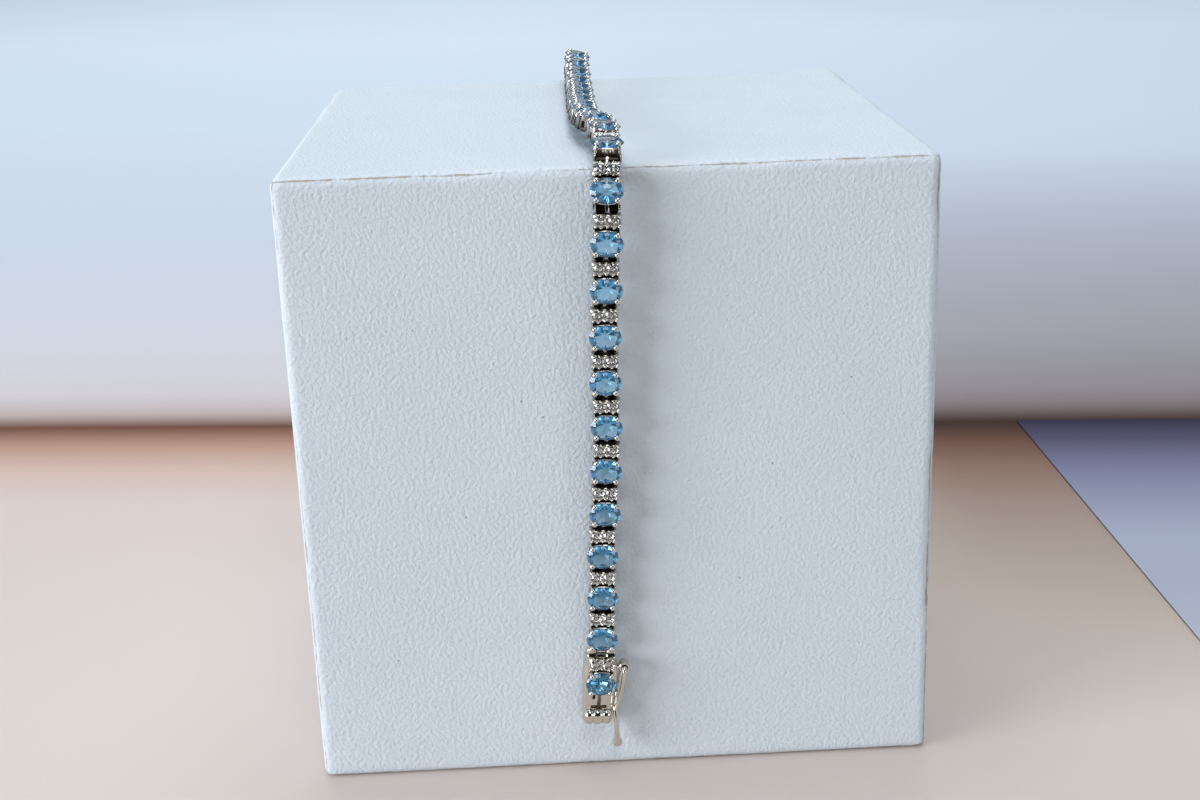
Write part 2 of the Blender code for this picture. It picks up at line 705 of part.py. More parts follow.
def tongue_mesh():
    """Return the tongue: a block with a pocket and pin, a folded leaf with its thumb, and a stud."""
    pin_room = EYE_RADIUS + EYE_CLEARANCE
    block_start = -EAR_REACH
    block_end = pin_room + TONGUE_BLOCK_LENGTH
    base = box_mesh(
        "tongue_block", (-FRAME_WIDTH / 2, block_start, 0), (FRAME_WIDTH / 2, block_end, BOX_TOP)
    )
    low = BOX_FLOOR + TONGUE_CLEARANCE / 2
    high = low + TONGUE_OPENING
    tip = block_end + TONGUE_LENGTH
    leaf_outline = [
        (block_end - FRAME_WALL, low),
        (tip, low),
        (tip + TONGUE_LEAF, low + 1.5 * TONGUE_LEAF),
        (block_end + THUMB_LENGTH, high),
        (block_end + TONGUE_LEAF, high),
        (block_end + TONGUE_LEAF, high - TONGUE_LEAF),
        (block_end + THUMB_LENGTH, high - TONGUE_LEAF),
        (tip - TONGUE_LEAF, low + 1.3 * TONGUE_LEAF),
        (tip - 2 * TONGUE_LEAF, low + TONGUE_LEAF),
        (block_end - FRAME_WALL, low + TONGUE_LEAF),
    ]
    tools = [("UNION", side_profile("leaf", leaf_outline, TONGUE_WIDTH / 2))]
    thumb_half = T_STEM_WIDTH / 2 - TONGUE_CLEARANCE / 2
    tools.append(("UNION", box_mesh(
        "thumb",
        (-thumb_half, block_end + 1.5 * TONGUE_LEAF, high - TONGUE_LEAF / 2),
        (thumb_half, block_end + THUMB_LENGTH, BOX_TOP + TONGUE_LEAF),
    )))
    side = FRAME_WIDTH / 2
    stud_y = block_end - TONGUE_BLOCK_LENGTH / 2
    stud_z = BOX_TOP / 2
    neck_ends = [(along, stud_y, stud_z) for along in (side - FRAME_WALL, side + STUD_REACH)]
    neck = rod("stud_neck", *neck_ends, STUD_NECK_SHARE * STUD_RADIUS, STUD_SIDES)
    tools.append(("UNION", neck))
    stud = ball("stud", neck_ends[1], (STUD_RADIUS,) * 3, STUD_SIDES, STUD_RINGS)
    tools.append(("UNION", stud))
    tools.append(pin_pocket(block_start - CUT_REACH, pin_room))
    tools.append(cross_pin(0.0, LUG_WIDTH))
    return combine(base, tools)


def wire(name, route, radius, sides):
    """Return a round wire along points, its ends closed, with its rings square to the route."""
    rings = []
    for index, point in enumerate(route):
        before = route[max(index - 1, 0)]
        after = route[min(index + 1, len(route) - 1)]
        tangent = (after - before).normalized()
        across = Vector((1, 0, 0))
        across = (across - tangent * across.dot(tangent)).normalized()
        third = tangent.cross(across)
        rings.append([
            point + across * radius * math.cos(2 * math.pi * side / sides)
            + third * radius * math.sin(2 * math.pi * side / sides)
            for side in range(sides)
        ])
    return loft(name, rings)


def lever_upper_path(side, waist):
    """Return half of the upper loop: out of the tube, round its end and down to the waist."""
    half = TUBE_LENGTH / 2
    bend = WIRE_CLEARANCE + WIRE_RADIUS
    reach = half + bend
    shoulder = -LEVER_SHOULDER_BENDS * bend
    path = [
        Vector((0, 0, half + side * (half - bend))),
        Vector((0, 0, half + side * half)),
        Vector((0, shoulder / 3, half + side * (half + 3 * bend / 4))),
        Vector((0, shoulder, half + side * reach)),
    ]
    beside = WIRE_RADIUS + WIRE_GAP / 2
    for step in range(1, LEVER_STEPS + 1):
        share = step / LEVER_STEPS
        closing = 0.5 - 0.5 * math.cos(math.pi * share)
        across = waist.x * share + side * LEVER_BULGE * math.sin(math.pi * share)
        down = shoulder + (waist.y - shoulder) * share
        path.append(Vector((across, down, half + side * (reach + (beside - reach) * closing))))
    return path


def lever_lower_path(side, waist, tip):
    """Return half of the lower loop, from the waist to the tip."""
    beside = WIRE_RADIUS + WIRE_GAP / 2
    path = []
    for step in range(LEVER_STEPS + 1):
        share = step / LEVER_STEPS
        swing = LEVER_LOOP_HALF * math.sin(math.pi * share)
        path.append(waist.lerp(tip, share) + Vector((0, 0, side * (beside + swing))))
    return path


def lever_mesh():
    """Return the lever in the tube's frame: z along the tube, y up, x away from the box."""
    middle = TUBE_LENGTH / 2
    waist = Vector((-LEVER_WAIST_IN, -LEVER_WAIST_DOWN, middle))
    tip = Vector((-LEVER_TIP_IN, -LEVER_TIP_DOWN, middle))
    upper = [*reversed(lever_upper_path(-1, waist)), *lever_upper_path(1, waist)]
    tools = []
    for side in (-1, 1):
        lower = lever_lower_path(side, waist, tip)
        tools.append(("UNION", wire("lower", lower, WIRE_RADIUS, WIRE_SIDES)))
    collar = (LEVER_WAIST_RADIUS, 1.5 * LEVER_WAIST_RADIUS, 2 * WIRE_RADIUS + WIRE_GAP)
    tools.append(("UNION", ball("collar", waist, collar, LEVER_SIDES, LEVER_RINGS)))
    tools.append(("UNION", ball("tip", tip, (LEVER_BALL_RADIUS,) * 3, LEVER_SIDES, LEVER_RINGS)))
    return combine(wire("upper", upper, WIRE_RADIUS, WIRE_SIDES), tools)


def block_mesh():
    """Return the display block with its soft edges; the underside stays flat."""
    mesh = box_mesh(
        "block",
        (-BLOCK_WIDTH / 2, -BLOCK_DEPTH / 2, 0),
        (BLOCK_WIDTH / 2, BLOCK_DEPTH / 2, BLOCK_HEIGHT),
    )
    work = bmesh.new()
    work.from_mesh(mesh)
    bmesh.ops.bevel(
        work,
        geom=list(work.edges),
        offset=BLOCK_EDGE_RADIUS,
        segments=BLOCK_EDGE_STEPS,
        affect="EDGES",
        profile=0.5,
        clamp_overlap=True,
    )
    work.to_mesh(mesh)
    work.free()
    return mesh


def main():
    """Model the block, the band, its clasp and its lever."""
    for item in list(bpy.data.objects):
        bpy.data.objects.remove(item)
    plaster = make_material("white_plaster", (0.62, 0.68, 0.74), 0.9, 0.0)
    metal = make_material("white_gold", (0.75, 0.72, 0.68), 0.22, 1.0)
    topaz = make_material("sky_blue_topaz", (0.18, 0.50, 0.72), 0.05, 0.0)

    add_object("display_block", block_mesh(), plaster)
    frames = link_frames()
    links = [link_mesh()] * LINK_COUNT
    links[0] = link_mesh(lower_eye=True)
    links[FRONT_LINKS - 1] = link_mesh(upper_length=HINGE_GAP - LUG_STUB - LUG_MEETING_GAP)
    links[-1] = link_mesh(upper_eye=True)
    front = chain_mesh("chain_front", frames[:FRONT_LINKS], links[:FRONT_LINKS])
    add_object("chain_front", front, metal)
    rear = chain_mesh("chain_rear", frames[FRONT_LINKS:], links[FRONT_LINKS:])
    add_object("chain_rear", rear, metal)

    box_place = clasp_place(frames[0])
    stone = oval_stone(
        "topaz", TOPAZ_WIDTH, TOPAZ_LENGTH, TOPAZ_CROWN, TOPAZ_PAVILION,
        TOPAZ_TABLE_SHARE, TOPAZ_FACETS, GIRDLE_HEIGHT,
    )
    for number, place in enumerate([box_place, *frames], 1):
        gem = add_object(f"topaz_{number:02d}", stone, topaz)
        gem.matrix_world = place

    tube_start = Matrix.Translation((TUBE_OUT, TUBE_UP, TUBE_BACK))
    tube_in_box = tube_start @ Matrix.Rotation(-CLASP_TURN, 4, "Y")
    box = add_object("clasp_box", clasp_box_mesh(tube_in_box), metal)
    box.matrix_world = box_place
    lever = add_object("safety_lever", lever_mesh(), metal)
    lever.matrix_world = box_place @ tube_in_box
    tongue = add_object("clasp_tongue", tongue_mesh(), metal)
    tongue.matrix_world = tongue_place(frames[-1])


main()
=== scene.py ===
"""Tennis bracelet of oval sky-blue topaz and small diamonds, hung open over a plaster display block.

Every new piece is a numpy surface. A link's place is read from its own topaz solid, so each setting
lies where its solid lies. In a link's own frame x goes across the band, y along it towards the
hidden tongue and z out of its face, with z = 0 at the link's back and y = 0 at its oval's middle.
"""
from __future__ import annotations

import json
import logging
import math
from dataclasses import dataclass, field
from enum import Enum
from itertools import product
from typing import Iterable

import bmesh
import bpy
import numpy as np
from mathutils import Matrix

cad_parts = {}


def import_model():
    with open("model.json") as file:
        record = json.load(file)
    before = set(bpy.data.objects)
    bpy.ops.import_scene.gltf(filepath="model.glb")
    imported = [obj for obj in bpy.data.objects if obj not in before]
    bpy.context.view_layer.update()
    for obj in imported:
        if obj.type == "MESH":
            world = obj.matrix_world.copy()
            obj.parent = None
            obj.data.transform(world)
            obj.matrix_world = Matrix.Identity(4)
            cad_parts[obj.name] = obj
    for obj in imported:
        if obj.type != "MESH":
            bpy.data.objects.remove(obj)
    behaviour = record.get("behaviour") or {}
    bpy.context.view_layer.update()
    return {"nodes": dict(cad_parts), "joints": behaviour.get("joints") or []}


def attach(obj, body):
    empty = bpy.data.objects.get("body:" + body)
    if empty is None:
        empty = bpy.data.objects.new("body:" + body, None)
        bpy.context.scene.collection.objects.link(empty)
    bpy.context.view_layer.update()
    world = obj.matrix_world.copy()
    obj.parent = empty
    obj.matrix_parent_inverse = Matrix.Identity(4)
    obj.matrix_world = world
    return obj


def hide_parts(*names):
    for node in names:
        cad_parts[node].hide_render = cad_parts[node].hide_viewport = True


MM = 0.001
BOTH = (-1, 1)
X_AXIS, Z_AXIS = np.array([1.0, 0.0, 0.0]), np.array([0.0, 0.0, 1.0])
Array = np.ndarray
Pair = tuple[float, float]
Triple = tuple[float, float, float]
Material, Thing, Tree = bpy.types.Material, bpy.types.Object, bpy.types.NodeTree
LOG = logging.getLogger("tennis_bracelet")


class Finish(Enum):
    """The finishes a face can wear, by their place in a piece's material list."""

    METAL = 0
    DIAMOND = 1


class End(Enum):
    """The two ends of a link: the lower one hangs towards the clasp."""

    LOWER = -1
    UPPER = 1


@dataclass
class Surface:
    """A mesh held as whole arrays.

    Args:
        points: one row a point, in metres.
        faces: four corner numbers a row, with -1 in the fourth column for a triangle.
        finish: the finish number of each face.
        smooth: whether each face is shaded round.
        recess: how deep each point lies in the setting, from 0 on top to 1 at the back; it sets the painted
            shade of the metal and of a stone's rim, and on the block the worn paint along the edges.
    """

    points: Array
    faces: Array
    finish: Array
    smooth: Array
    recess: Array

    @classmethod
    def made(
        cls, points: Array, faces: Array, smooth: bool = True, finish: Finish = Finish.METAL
    ) -> Surface:
        """Return a surface with one finish all over.

        Args:
            points: its points.
            faces: its faces' corner numbers.
            smooth: whether it is shaded round.
            finish: its finish.

        Returns:
            The surface, with no recess.
        """
        count = len(faces)
        return cls(
            points, faces, np.full(count, finish.value), np.full(count, smooth), np.zeros(len(points))
        )

    @classmethod
    def joined(cls, parts: list[Surface]) -> Surface:
        """Return several surfaces as one.

        Args:
            parts: the surfaces, in order.

        Returns:
            One surface; each part's corner numbers are moved past the points before it.
        """
        starts = np.cumsum([0] + [len(part.points) for part in parts[:-1]])
        faces = [np.where(part.faces < 0, -1, part.faces + start) for part, start in zip(parts, starts)]
        points, finish, smooth, recess = (
            np.concatenate([getattr(part, name) for part in parts])
            for name in ("points", "finish", "smooth", "recess")
        )
        return cls(points, np.concatenate(faces), finish, smooth, recess)

    def recessed(self, share: float | Array) -> Surface:
        """Return the surface with this recess, one value for all or one for each point."""
        recess = np.broadcast_to(share, len(self.points)).astype(float)
        return Surface(self.points, self.faces, self.finish, self.smooth, recess)

    def shaded_from(self, top: float, depth: float) -> Surface:
        """Return the surface with its recess at least its depth under top, as a share of depth."""
        return self.recessed(np.maximum(self.recess, np.clip((top - self.points[:, 2]) / depth, 0.0, 1.0)))

    def placed(self, places: Array) -> Surface:
        """Return one copy of the surface at each place.

        Args:
            places: matrices of four by four, one for each copy.

        Returns:
            All copies as one surface: a point goes to turn times point plus shift.
        """
        turned = np.einsum("kij,nj->kni", places[:, :3, :3], self.points) + places[:, None, :3, 3]
        count = len(places)
        starts = np.arange(count)[:, None, None] * len(self.points)
        faces = np.where(self.faces[None] < 0, -1, self.faces[None] + starts)
        rest = [np.tile(values, count) for values in (self.finish, self.smooth, self.recess)]
        return Surface(turned.reshape(-1, 3), faces.reshape(-1, 4), *rest)

    def at(self, place: Array) -> Surface:
        """Return the surface at one place, a matrix of four by four."""
        return self.placed(place[None])


def unit(vectors: Array) -> Array:
    """Return vectors scaled to length one."""
    return vectors / np.linalg.norm(vectors, axis=-1, keepdims=True)


def place_of(axes: Iterable[Array], origin: Iterable[float]) -> Array:
    """Return a place as a matrix.

    Args:
        axes: where x, y and z point.
        origin: where zero goes.

    Returns:
        The matrix that turns and then shifts a point.
    """
    matrix = np.eye(4)
    matrix[:3, :3] = np.column_stack(list(axes))
    matrix[:3, 3] = origin
    return matrix


def shifted(origin: Iterable[float]) -> Array:
    """Return the matrix that shifts zero to an origin and turns nothing."""
    return place_of(np.eye(3), origin)


def at_place(matrix: Array, point: Iterable[float]) -> Array:
    """Return a point of a link's own frame in the frame of the solids."""
    return matrix[:3, :3] @ np.asarray(point, float) + matrix[:3, 3]


def loft(rings: Array, poles: tuple[Array, Array] | None = None, closed: bool = False) -> Surface:
    """Return a closed skin through rings of equally many points.

    Args:
        rings: an array of rings, points and coordinates.
        poles: the end points that close the first and last ring; their middles if not given.
        closed: whether the last ring meets the first one, so that there are no ends.

    Returns:
        Quads between neighbouring rings, and at each open end a fan to its pole.
    """
    count, around = rings.shape[:2]
    side = np.arange(around)
    after = (side + 1) % around
    rows = np.arange(count if closed else count - 1)[:, None]
    low = rows * around
    high = (rows + 1) % count * around
    quads = np.stack([low + side, low + after, high + after, high + side], axis=-1).reshape(-1, 4)
    points = rings.reshape(-1, 3)
    if closed:
        return Surface.made(points, quads)
    first, last = (rings[0].mean(axis=0), rings[-1].mean(axis=0)) if poles is None else poles
    base = len(points)
    none = np.full(around, -1)
    start = np.stack([np.full(around, base), after, side, none], axis=-1)
    end = np.stack([np.full(around, base + 1), base - around + side, base - around + after, none], axis=-1)
    return Surface.made(np.vstack([points, first, last]), np.vstack([quads, start, end]))


def circle(sides: int, radius: float = 1.0) -> Array:
    """Return the corners of a round profile as pairs of cosine and sine."""
    turn = np.arange(sides) * 2 * math.pi / sides
    return radius * np.stack([np.cos(turn), np.sin(turn)], axis=-1)


def superellipse(sides: int, power: float) -> Array:
    """Return a squared-off circle: the sign times the power of the size of cosine and of sine."""
    lean = circle(sides)
    return np.sign(lean) * np.abs(lean) ** power


def rounded_rectangle(width: float, height: float, radius: float, steps: int = 3) -> Array:
    """Return a rectangle with round corners.

    Args:
        width: its size along the first direction.
        height: its size along the second one.
        radius: the radius of its corners.
        steps: how many points each corner has.

    Returns:
        Pairs, counter-clockwise: quarter circles whose middles lie the radius inside the corners.
    """
    turn = np.linspace(0.0, math.pi / 2, steps)
    quarter = np.stack([np.cos(turn), np.sin(turn)], axis=-1) * radius
    corners = []
    for index, (side_x, side_y) in enumerate(((1, 1), (-1, 1), (-1, -1), (1, -1))):
        spin = index * math.pi / 2
        turned = quarter @ np.array([[math.cos(spin), math.sin(spin)], [-math.sin(spin), math.cos(spin)]])
        corners.append(turned + np.array([side_x * (width / 2 - radius), side_y * (height / 2 - radius)]))
    return np.concatenate(corners)


def bent(start: Array, control: Array, end: Array, t: Array) -> Array:
    """Return a curve from start to end: (1 - t)^2 start + 2 t (1 - t) control + t^2 end."""
    return (1 - t) ** 2 * start + 2 * t * (1 - t) * control + t ** 2 * end


def carried(
    path: Array, profile: Array, reference: Array, scale: Array | float = 1.0, closed: bool = False
) -> Array:
    """Return the rings of a profile carried square to a path.

    Args:
        path: points along the path.
        profile: pairs of distances, first along the side direction and then along the third one.
        reference: a direction, or one for each point, that the side direction keeps close to.
        scale: the profile's size at each point of the path.
        closed: whether the path comes back to its start.

    Returns:
        Rings: each point is path + scale (first * side + second * third), where side is the
        reference less its part along the path, and third is the tangent crossed with side.
    """
    if closed:
        tangent = unit(np.roll(path, -1, axis=0) - np.roll(path, 1, axis=0))
    else:
        tangent = unit(np.gradient(path, axis=0))
    reference = np.broadcast_to(reference, path.shape)
    side = unit(reference - (reference * tangent).sum(axis=1, keepdims=True) * tangent)
    third = np.cross(tangent, side)
    size = np.broadcast_to(scale, len(path))[:, None, None]
    spread = profile[None, :, :1] * side[:, None] + profile[None, :, 1:] * third[:, None]
    return path[:, None] + size * spread


def slab(
    first: Iterable[float], second: Iterable[float], bevel: float, corner: float, bend: float = 0.0
) -> Surface:
    """Return a block between two corners with bevelled top and bottom and round upright edges.

    Args:
        first: one corner.
        second: the corner opposite.
        bevel: how far the top and bottom draw in.
        corner: the radius of the upright edges.
        bend: how far the middle of its long side in x stands back in y.

    Returns:
        Rounded rectangles stacked in z; y moves by bend (1 - (x / half width) squared).
    """
    low, high = np.minimum(first, second), np.maximum(first, second)
    size, middle = high - low, (high + low) / 2
    levels = ((low[2], bevel), (low[2] + bevel, 0.0), (high[2] - bevel, 0.0), (high[2], bevel))
    rings = []
    for height, inset in levels:
        width, length = size[:2] - 2 * inset
        outline = rounded_rectangle(width, length, max(corner - inset, 0.2 * corner))
        ring = np.column_stack([outline + middle[:2], np.full(len(outline), height)])
        ring[:, 1] += bend * (1 - (outline[:, 0] / (size[0] / 2)) ** 2)
        rings.append(ring)
    return loft(np.array(rings))


def ellipsoid(centre: Array, radii: Array, around: int, along: int) -> Surface:
    """Return an egg.

    Args:
        centre: its middle.
        radii: its half sizes along x, y and z.
        around: how many points go round it.
        along: how many steps go from pole to pole.

    Returns:
        Centre plus radii times (cos t cos a, cos t sin a, sin t), closed at its poles.
    """
    centre, radii = np.asarray(centre, float), np.asarray(radii, float)
    tilt = np.linspace(-math.pi / 2, math.pi / 2, along + 1)[1:-1]
    ring = circle(around)
    rings = np.concatenate([
        np.cos(tilt)[:, None, None] * ring[None],
        np.broadcast_to(np.sin(tilt)[:, None, None], (len(tilt), around, 1)),
    ], axis=-1)
    pole = np.array([0.0, 0.0, radii[2]])
    return loft(centre + rings * radii, (centre - pole, centre + pole))


def barrel(centre: Array, half_length: float, radius: float, sides: int, hole: float = 0.0) -> Surface:
    """Return a round barrel across x with eased ends, or a ring of it where it has a hole.

    Args:
        centre: its middle.
        half_length: half its length along x.
        radius: its outer radius.
        sides: how many flats go round it.
        hole: the radius of its hole, if it has one.

    Returns:
        Circles in y and z stacked along x, the outer ones drawn in by a fifth of the wall.
    """
    ease = 0.2 * (radius - hole)
    outer = [(-half_length, radius - ease), (ease - half_length, radius)]
    outer += [(half_length - ease, radius), (half_length, radius - ease)]
    if hole:
        outer += [(half_length, hole + ease), (half_length - ease, hole)]
        outer += [(ease - half_length, hole), (-half_length, hole + ease)]
    ring = circle(sides)
    rings = np.array([
        np.column_stack([np.full(sides, along), ring * size]) + centre for along, size in outer
    ])
    return loft(rings, closed=bool(hole))


def to_linear(code: str) -> tuple[float, float, float, float]:
    """Return a colour in linear light.

    Args:
        code: the sRGB hex value.

    Returns:
        Red, green, blue and alpha: c / 12.92 up to 0.04045, and ((c + 0.055) / 1.055)^2.4 above.
    """
    channels = [int(code[start:start + 2], 16) / 255 for start in (1, 3, 5)]
    linear = [c / 12.92 if c <= 0.04045 else ((c + 0.055) / 1.055) ** 2.4 for c in channels]
    return (*linear, 1.0)


def add_node(tree: Tree, kind: str, settings: dict | None = None, **options) -> bpy.types.Node:
    """Add a node with its settings and links.

    Args:
        tree: the node tree that it joins.
        kind: the node's type name.
        settings: a value or another node's output for each input, by its name or number.
        **options: the node's own properties.

    Returns:
        The new node.
    """
    node = tree.nodes.new(kind)
    for key, value in options.items():
        setattr(node, key, value)
    for key, value in (settings or {}).items():
        if isinstance(value, bpy.types.NodeSocket):
            tree.links.new(value, node.inputs[key])
        else:
            node.inputs[key].default_value = value
    return node


def principled(name: str, settings: dict) -> tuple[Material, Tree, bpy.types.Node]:
    """Start a material.

    Args:
        name: its name.
        settings: the values that are the same all over, by the shader's own sockets.

    Returns:
        The material, its tree and its shader.
    """
    material = bpy.data.materials.new(name)
    material.use_nodes = True
    tree = material.node_tree
    shader = tree.nodes["Principled BSDF"]
    for key, value in settings.items():
        shader.inputs[key].default_value = value
    return material, tree, shader


def link_object(name: str, data: bpy.types.ID) -> Thing:
    """Put something into the scene at the origin.

    Args:
        name: the object's name.
        data: its mesh, light or camera.

    Returns:
        The object.
    """
    made = bpy.data.objects.new(name, data)
    bpy.context.scene.collection.objects.link(made)
    return made


@dataclass(frozen=True)
class WhiteGold:
    """18 ct white gold, cast, tumbled and brought to a mirror by hand.

    It gives a warm grey mirror with white lights and brown-black shades. Wear polishes the high
    points in patches, and the recesses carry painted shade, a brown-black colour and a duller
    gloss that grow the deeper a point lies in its setting.
    """

    name: str = "white_gold_polished"
    bright: str = "#D9D2C7"
    # Painted shade: the colour of the recesses.
    deep: str = "#3A322C"
    roughness: float = 0.10
    shade_and_wear_roughness: float = 0.34
    shade_and_wear_range: Pair = (0.42, 1.05)
    wear_patches: float = 0.3
    ripple: float = 0.5 * MM
    ripple_depth: float = 0.05 * MM
    ripple_strength: float = 0.12

    def build(self) -> Material:
        """Return the material.

        Returns:
            A metal whose colour and roughness go from bright to the painted shade as the recess plus a
            share of patchy wear passes the shade's range; a low ripple bends the lights.
        """
        material, tree, shader = principled(self.name, {"Metallic": 1.0})
        coords = add_node(tree, "ShaderNodeTexCoord")
        depth = add_node(tree, "ShaderNodeAttribute", attribute_name="recess")
        wear = add_node(tree, "ShaderNodeTexNoise", {
            "Vector": coords.outputs["Object"], "Scale": 1 / self.ripple, "Detail": 2.0,
        })
        # Painted shade by the recess, broken up by patchy wear.
        shade_and_wear = add_node(tree, "ShaderNodeMath", {
            0: wear.outputs["Fac"], 1: self.wear_patches, 2: depth.outputs["Fac"],
        }, operation="MULTIPLY_ADD")
        share = add_node(tree, "ShaderNodeMapRange", {
            "Value": shade_and_wear.outputs[0], "From Min": self.shade_and_wear_range[0], "From Max": self.shade_and_wear_range[1],
        }, interpolation_type="SMOOTHSTEP")
        tone = add_node(tree, "ShaderNodeMix", {
            "Factor": share.outputs["Result"], 6: to_linear(self.bright), 7: to_linear(self.deep),
        }, data_type="RGBA")
        gloss = add_node(tree, "ShaderNodeMapRange", {
            "Value": share.outputs["Result"], "To Min": self.roughness, "To Max": self.shade_and_wear_roughness,
        })
        bump = add_node(tree, "ShaderNodeBump", {
            "Height": wear.outputs["Fac"], "Strength": self.ripple_strength, "Distance": self.ripple_depth,
        })
        tree.links.new(tone.outputs[2], shader.inputs["Base Color"])
        tree.links.new(gloss.outputs["Result"], shader.inputs["Roughness"])
        tree.links.new(bump.outputs["Normal"], shader.inputs["Normal"])
        return material


@dataclass(frozen=True)
class CutStone:
    """A cut gem with a mirror finish: flat facets like glass, clear inside, with its own colour and index.

    Args:
        name: the material's name.
        colour: the tint that light takes on its way in and out.
        index: the stone's refractive index.
        deep_colour: what is left of white light after a path of the given length, if it absorbs.
        path: that length.
        painted_glow: the strength of the painted light that the stone gives off at every facet, though it is
            no lamp.
        rim: painted shade, the darker tint of the crown's outer facets at the sides, and at the two ends, if
            it differs.
        rim_start: the share of the way to the rim's darkest tint where its first tint stands.
    """

    name: str
    colour: str
    index: float
    deep_colour: str = ""
    path: float = 3.0 * MM
    painted_glow: float = 0.0
    rim: tuple[str, ...] = ()
    rim_start: float = 0.45

    def build(self) -> Material:
        """Return the material: a clear dielectric, smooth as glass, that takes more colour on a longer path.

        Returns:
            The material; its absorption a length of stone is -log(left over) / path.
        """
        settings = {
            "Base Color": to_linear(self.colour),
            "Roughness": 0.0,
            "IOR": self.index,
            "Transmission Weight": 1.0,
            # Painted light: the stone glows in its deep colour though it is no lamp.
            "Emission Color": to_linear(self.deep_colour or self.colour),
            "Emission Strength": self.painted_glow,
        }
        material, tree, shader = principled(self.name, settings)
        # Painted shade: the rim tints darken the crown's outer facets by their recess.
        if self.rim:
            zone = add_node(tree, "ShaderNodeAttribute", attribute_name="recess")
            ramp = add_node(tree, "ShaderNodeValToRGB", {"Fac": zone.outputs["Fac"]})
            stops = ramp.color_ramp.elements
            stops.new(self.rim_start)
            for stop, colour in zip(stops, (self.colour, *self.rim)):
                stop.color = to_linear(colour)
            tree.links.new(ramp.outputs["Color"], shader.inputs["Base Color"])
        if self.deep_colour:
            left = np.array(to_linear(self.deep_colour)[:3])
            loss = -np.log(left) / self.path
            tint = (*(1 - loss / loss.max()), 1.0)
            body = add_node(tree, "ShaderNodeVolumeAbsorption", {"Color": tint, "Density": float(loss.max())})
            tree.links.new(body.outputs[0], tree.nodes["Material Output"].inputs["Volume"])
        return material


@dataclass(frozen=True)
class Grain:
    """A noise by the size of its grain, how many finer layers it has and how strong they are."""

    size: float
    detail: float
    roughness: float


@dataclass(frozen=True)
class PebbledPlaster:
    """Lightweight casting plaster under a rolled white emulsion.

    The roller leaves a fine pebble with a few pin holes. The paint is chipped along the edges,
    where the beige plaster and some dust show.
    """

    name: str = "emulsion_on_plaster"
    paint: str = "#DDE4EA"
    shade: str = "#CFD8DF"
    plaster: str = "#B4A898"
    pit: str = "#8C8A88"
    roughness: float = 0.82
    pebble: Grain = Grain(0.50 * MM, 3.0, 0.55)
    clouds: Grain = Grain(22.0 * MM, 4.0, 0.6)
    holed: Grain = Grain(4.0 * MM, 1.0, 0.5)
    ragged: Grain = Grain(1.6 * MM, 4.0, 0.65)
    pin_hole: float = 2.4 * MM
    hole_edge: Pair = (0.07, 0.03)
    holed_range: Pair = (0.60, 0.64)
    bare_range: Pair = (1.28, 1.48)
    bare_drop: float = -0.4
    relief_strength: float = 0.85
    relief_depth: float = 0.25 * MM

    def build(self) -> Material:
        """Return the material.

        Returns:
            Paint in two shades with a fine pebble and rare pin holes, and bare plaster, which
            lies lower, where the edge attribute plus a ragged noise passes the bare range.
        """
        material, tree, shader = principled(self.name, {"Roughness": self.roughness})
        coords = add_node(tree, "ShaderNodeTexCoord").outputs["Object"]
        pebble, clouds, holed, ragged = (
            add_node(tree, "ShaderNodeTexNoise", {
                "Vector": coords, "Scale": 1 / grain.size,
                "Detail": grain.detail, "Roughness": grain.roughness,
            }).outputs["Fac"]
            for grain in (self.pebble, self.clouds, self.holed, self.ragged)
        )
        holes = add_node(tree, "ShaderNodeTexVoronoi", {
            "Vector": coords, "Scale": 1 / self.pin_hole, "Randomness": 1.0,
        })
        edge = add_node(tree, "ShaderNodeAttribute", attribute_name="chip")
        reach = add_node(tree, "ShaderNodeMath", {0: edge.outputs["Fac"], 1: ragged}, operation="ADD")
        near, some, bare = (
            add_node(tree, "ShaderNodeMapRange", {
                "Value": value, "From Min": low, "From Max": high,
            }).outputs["Result"]
            for value, (low, high) in (
                (holes.outputs["Distance"], self.hole_edge),
                (holed, self.holed_range),
                (reach.outputs[0], self.bare_range),
            )
        )
        pitted = add_node(tree, "ShaderNodeMath", {0: near, 1: some}, operation="MULTIPLY").outputs[0]
        colour = to_linear(self.paint)
        for share, over in ((clouds, self.shade), (pitted, self.pit), (bare, self.plaster)):
            colour = add_node(tree, "ShaderNodeMix", {
                "Factor": share, 6: colour, 7: to_linear(over),
            }, data_type="RGBA").outputs[2]
        relief = add_node(tree, "ShaderNodeMath", {
            0: bare, 1: self.bare_drop, 2: pebble,
        }, operation="MULTIPLY_ADD")
        bump = add_node(tree, "ShaderNodeBump", {
            "Height": relief.outputs[0], "Strength": self.relief_strength, "Distance": self.relief_depth,
        })
        tree.links.new(colour, shader.inputs["Base Color"])
        tree.links.new(bump.outputs["Normal"], shader.inputs["Normal"])
        return material


@dataclass(frozen=True)
class Tone:
    """A paper's colour at a distance beyond the fold, in metres; nearer than the fold is below zero."""

    distance: float
    colour: str


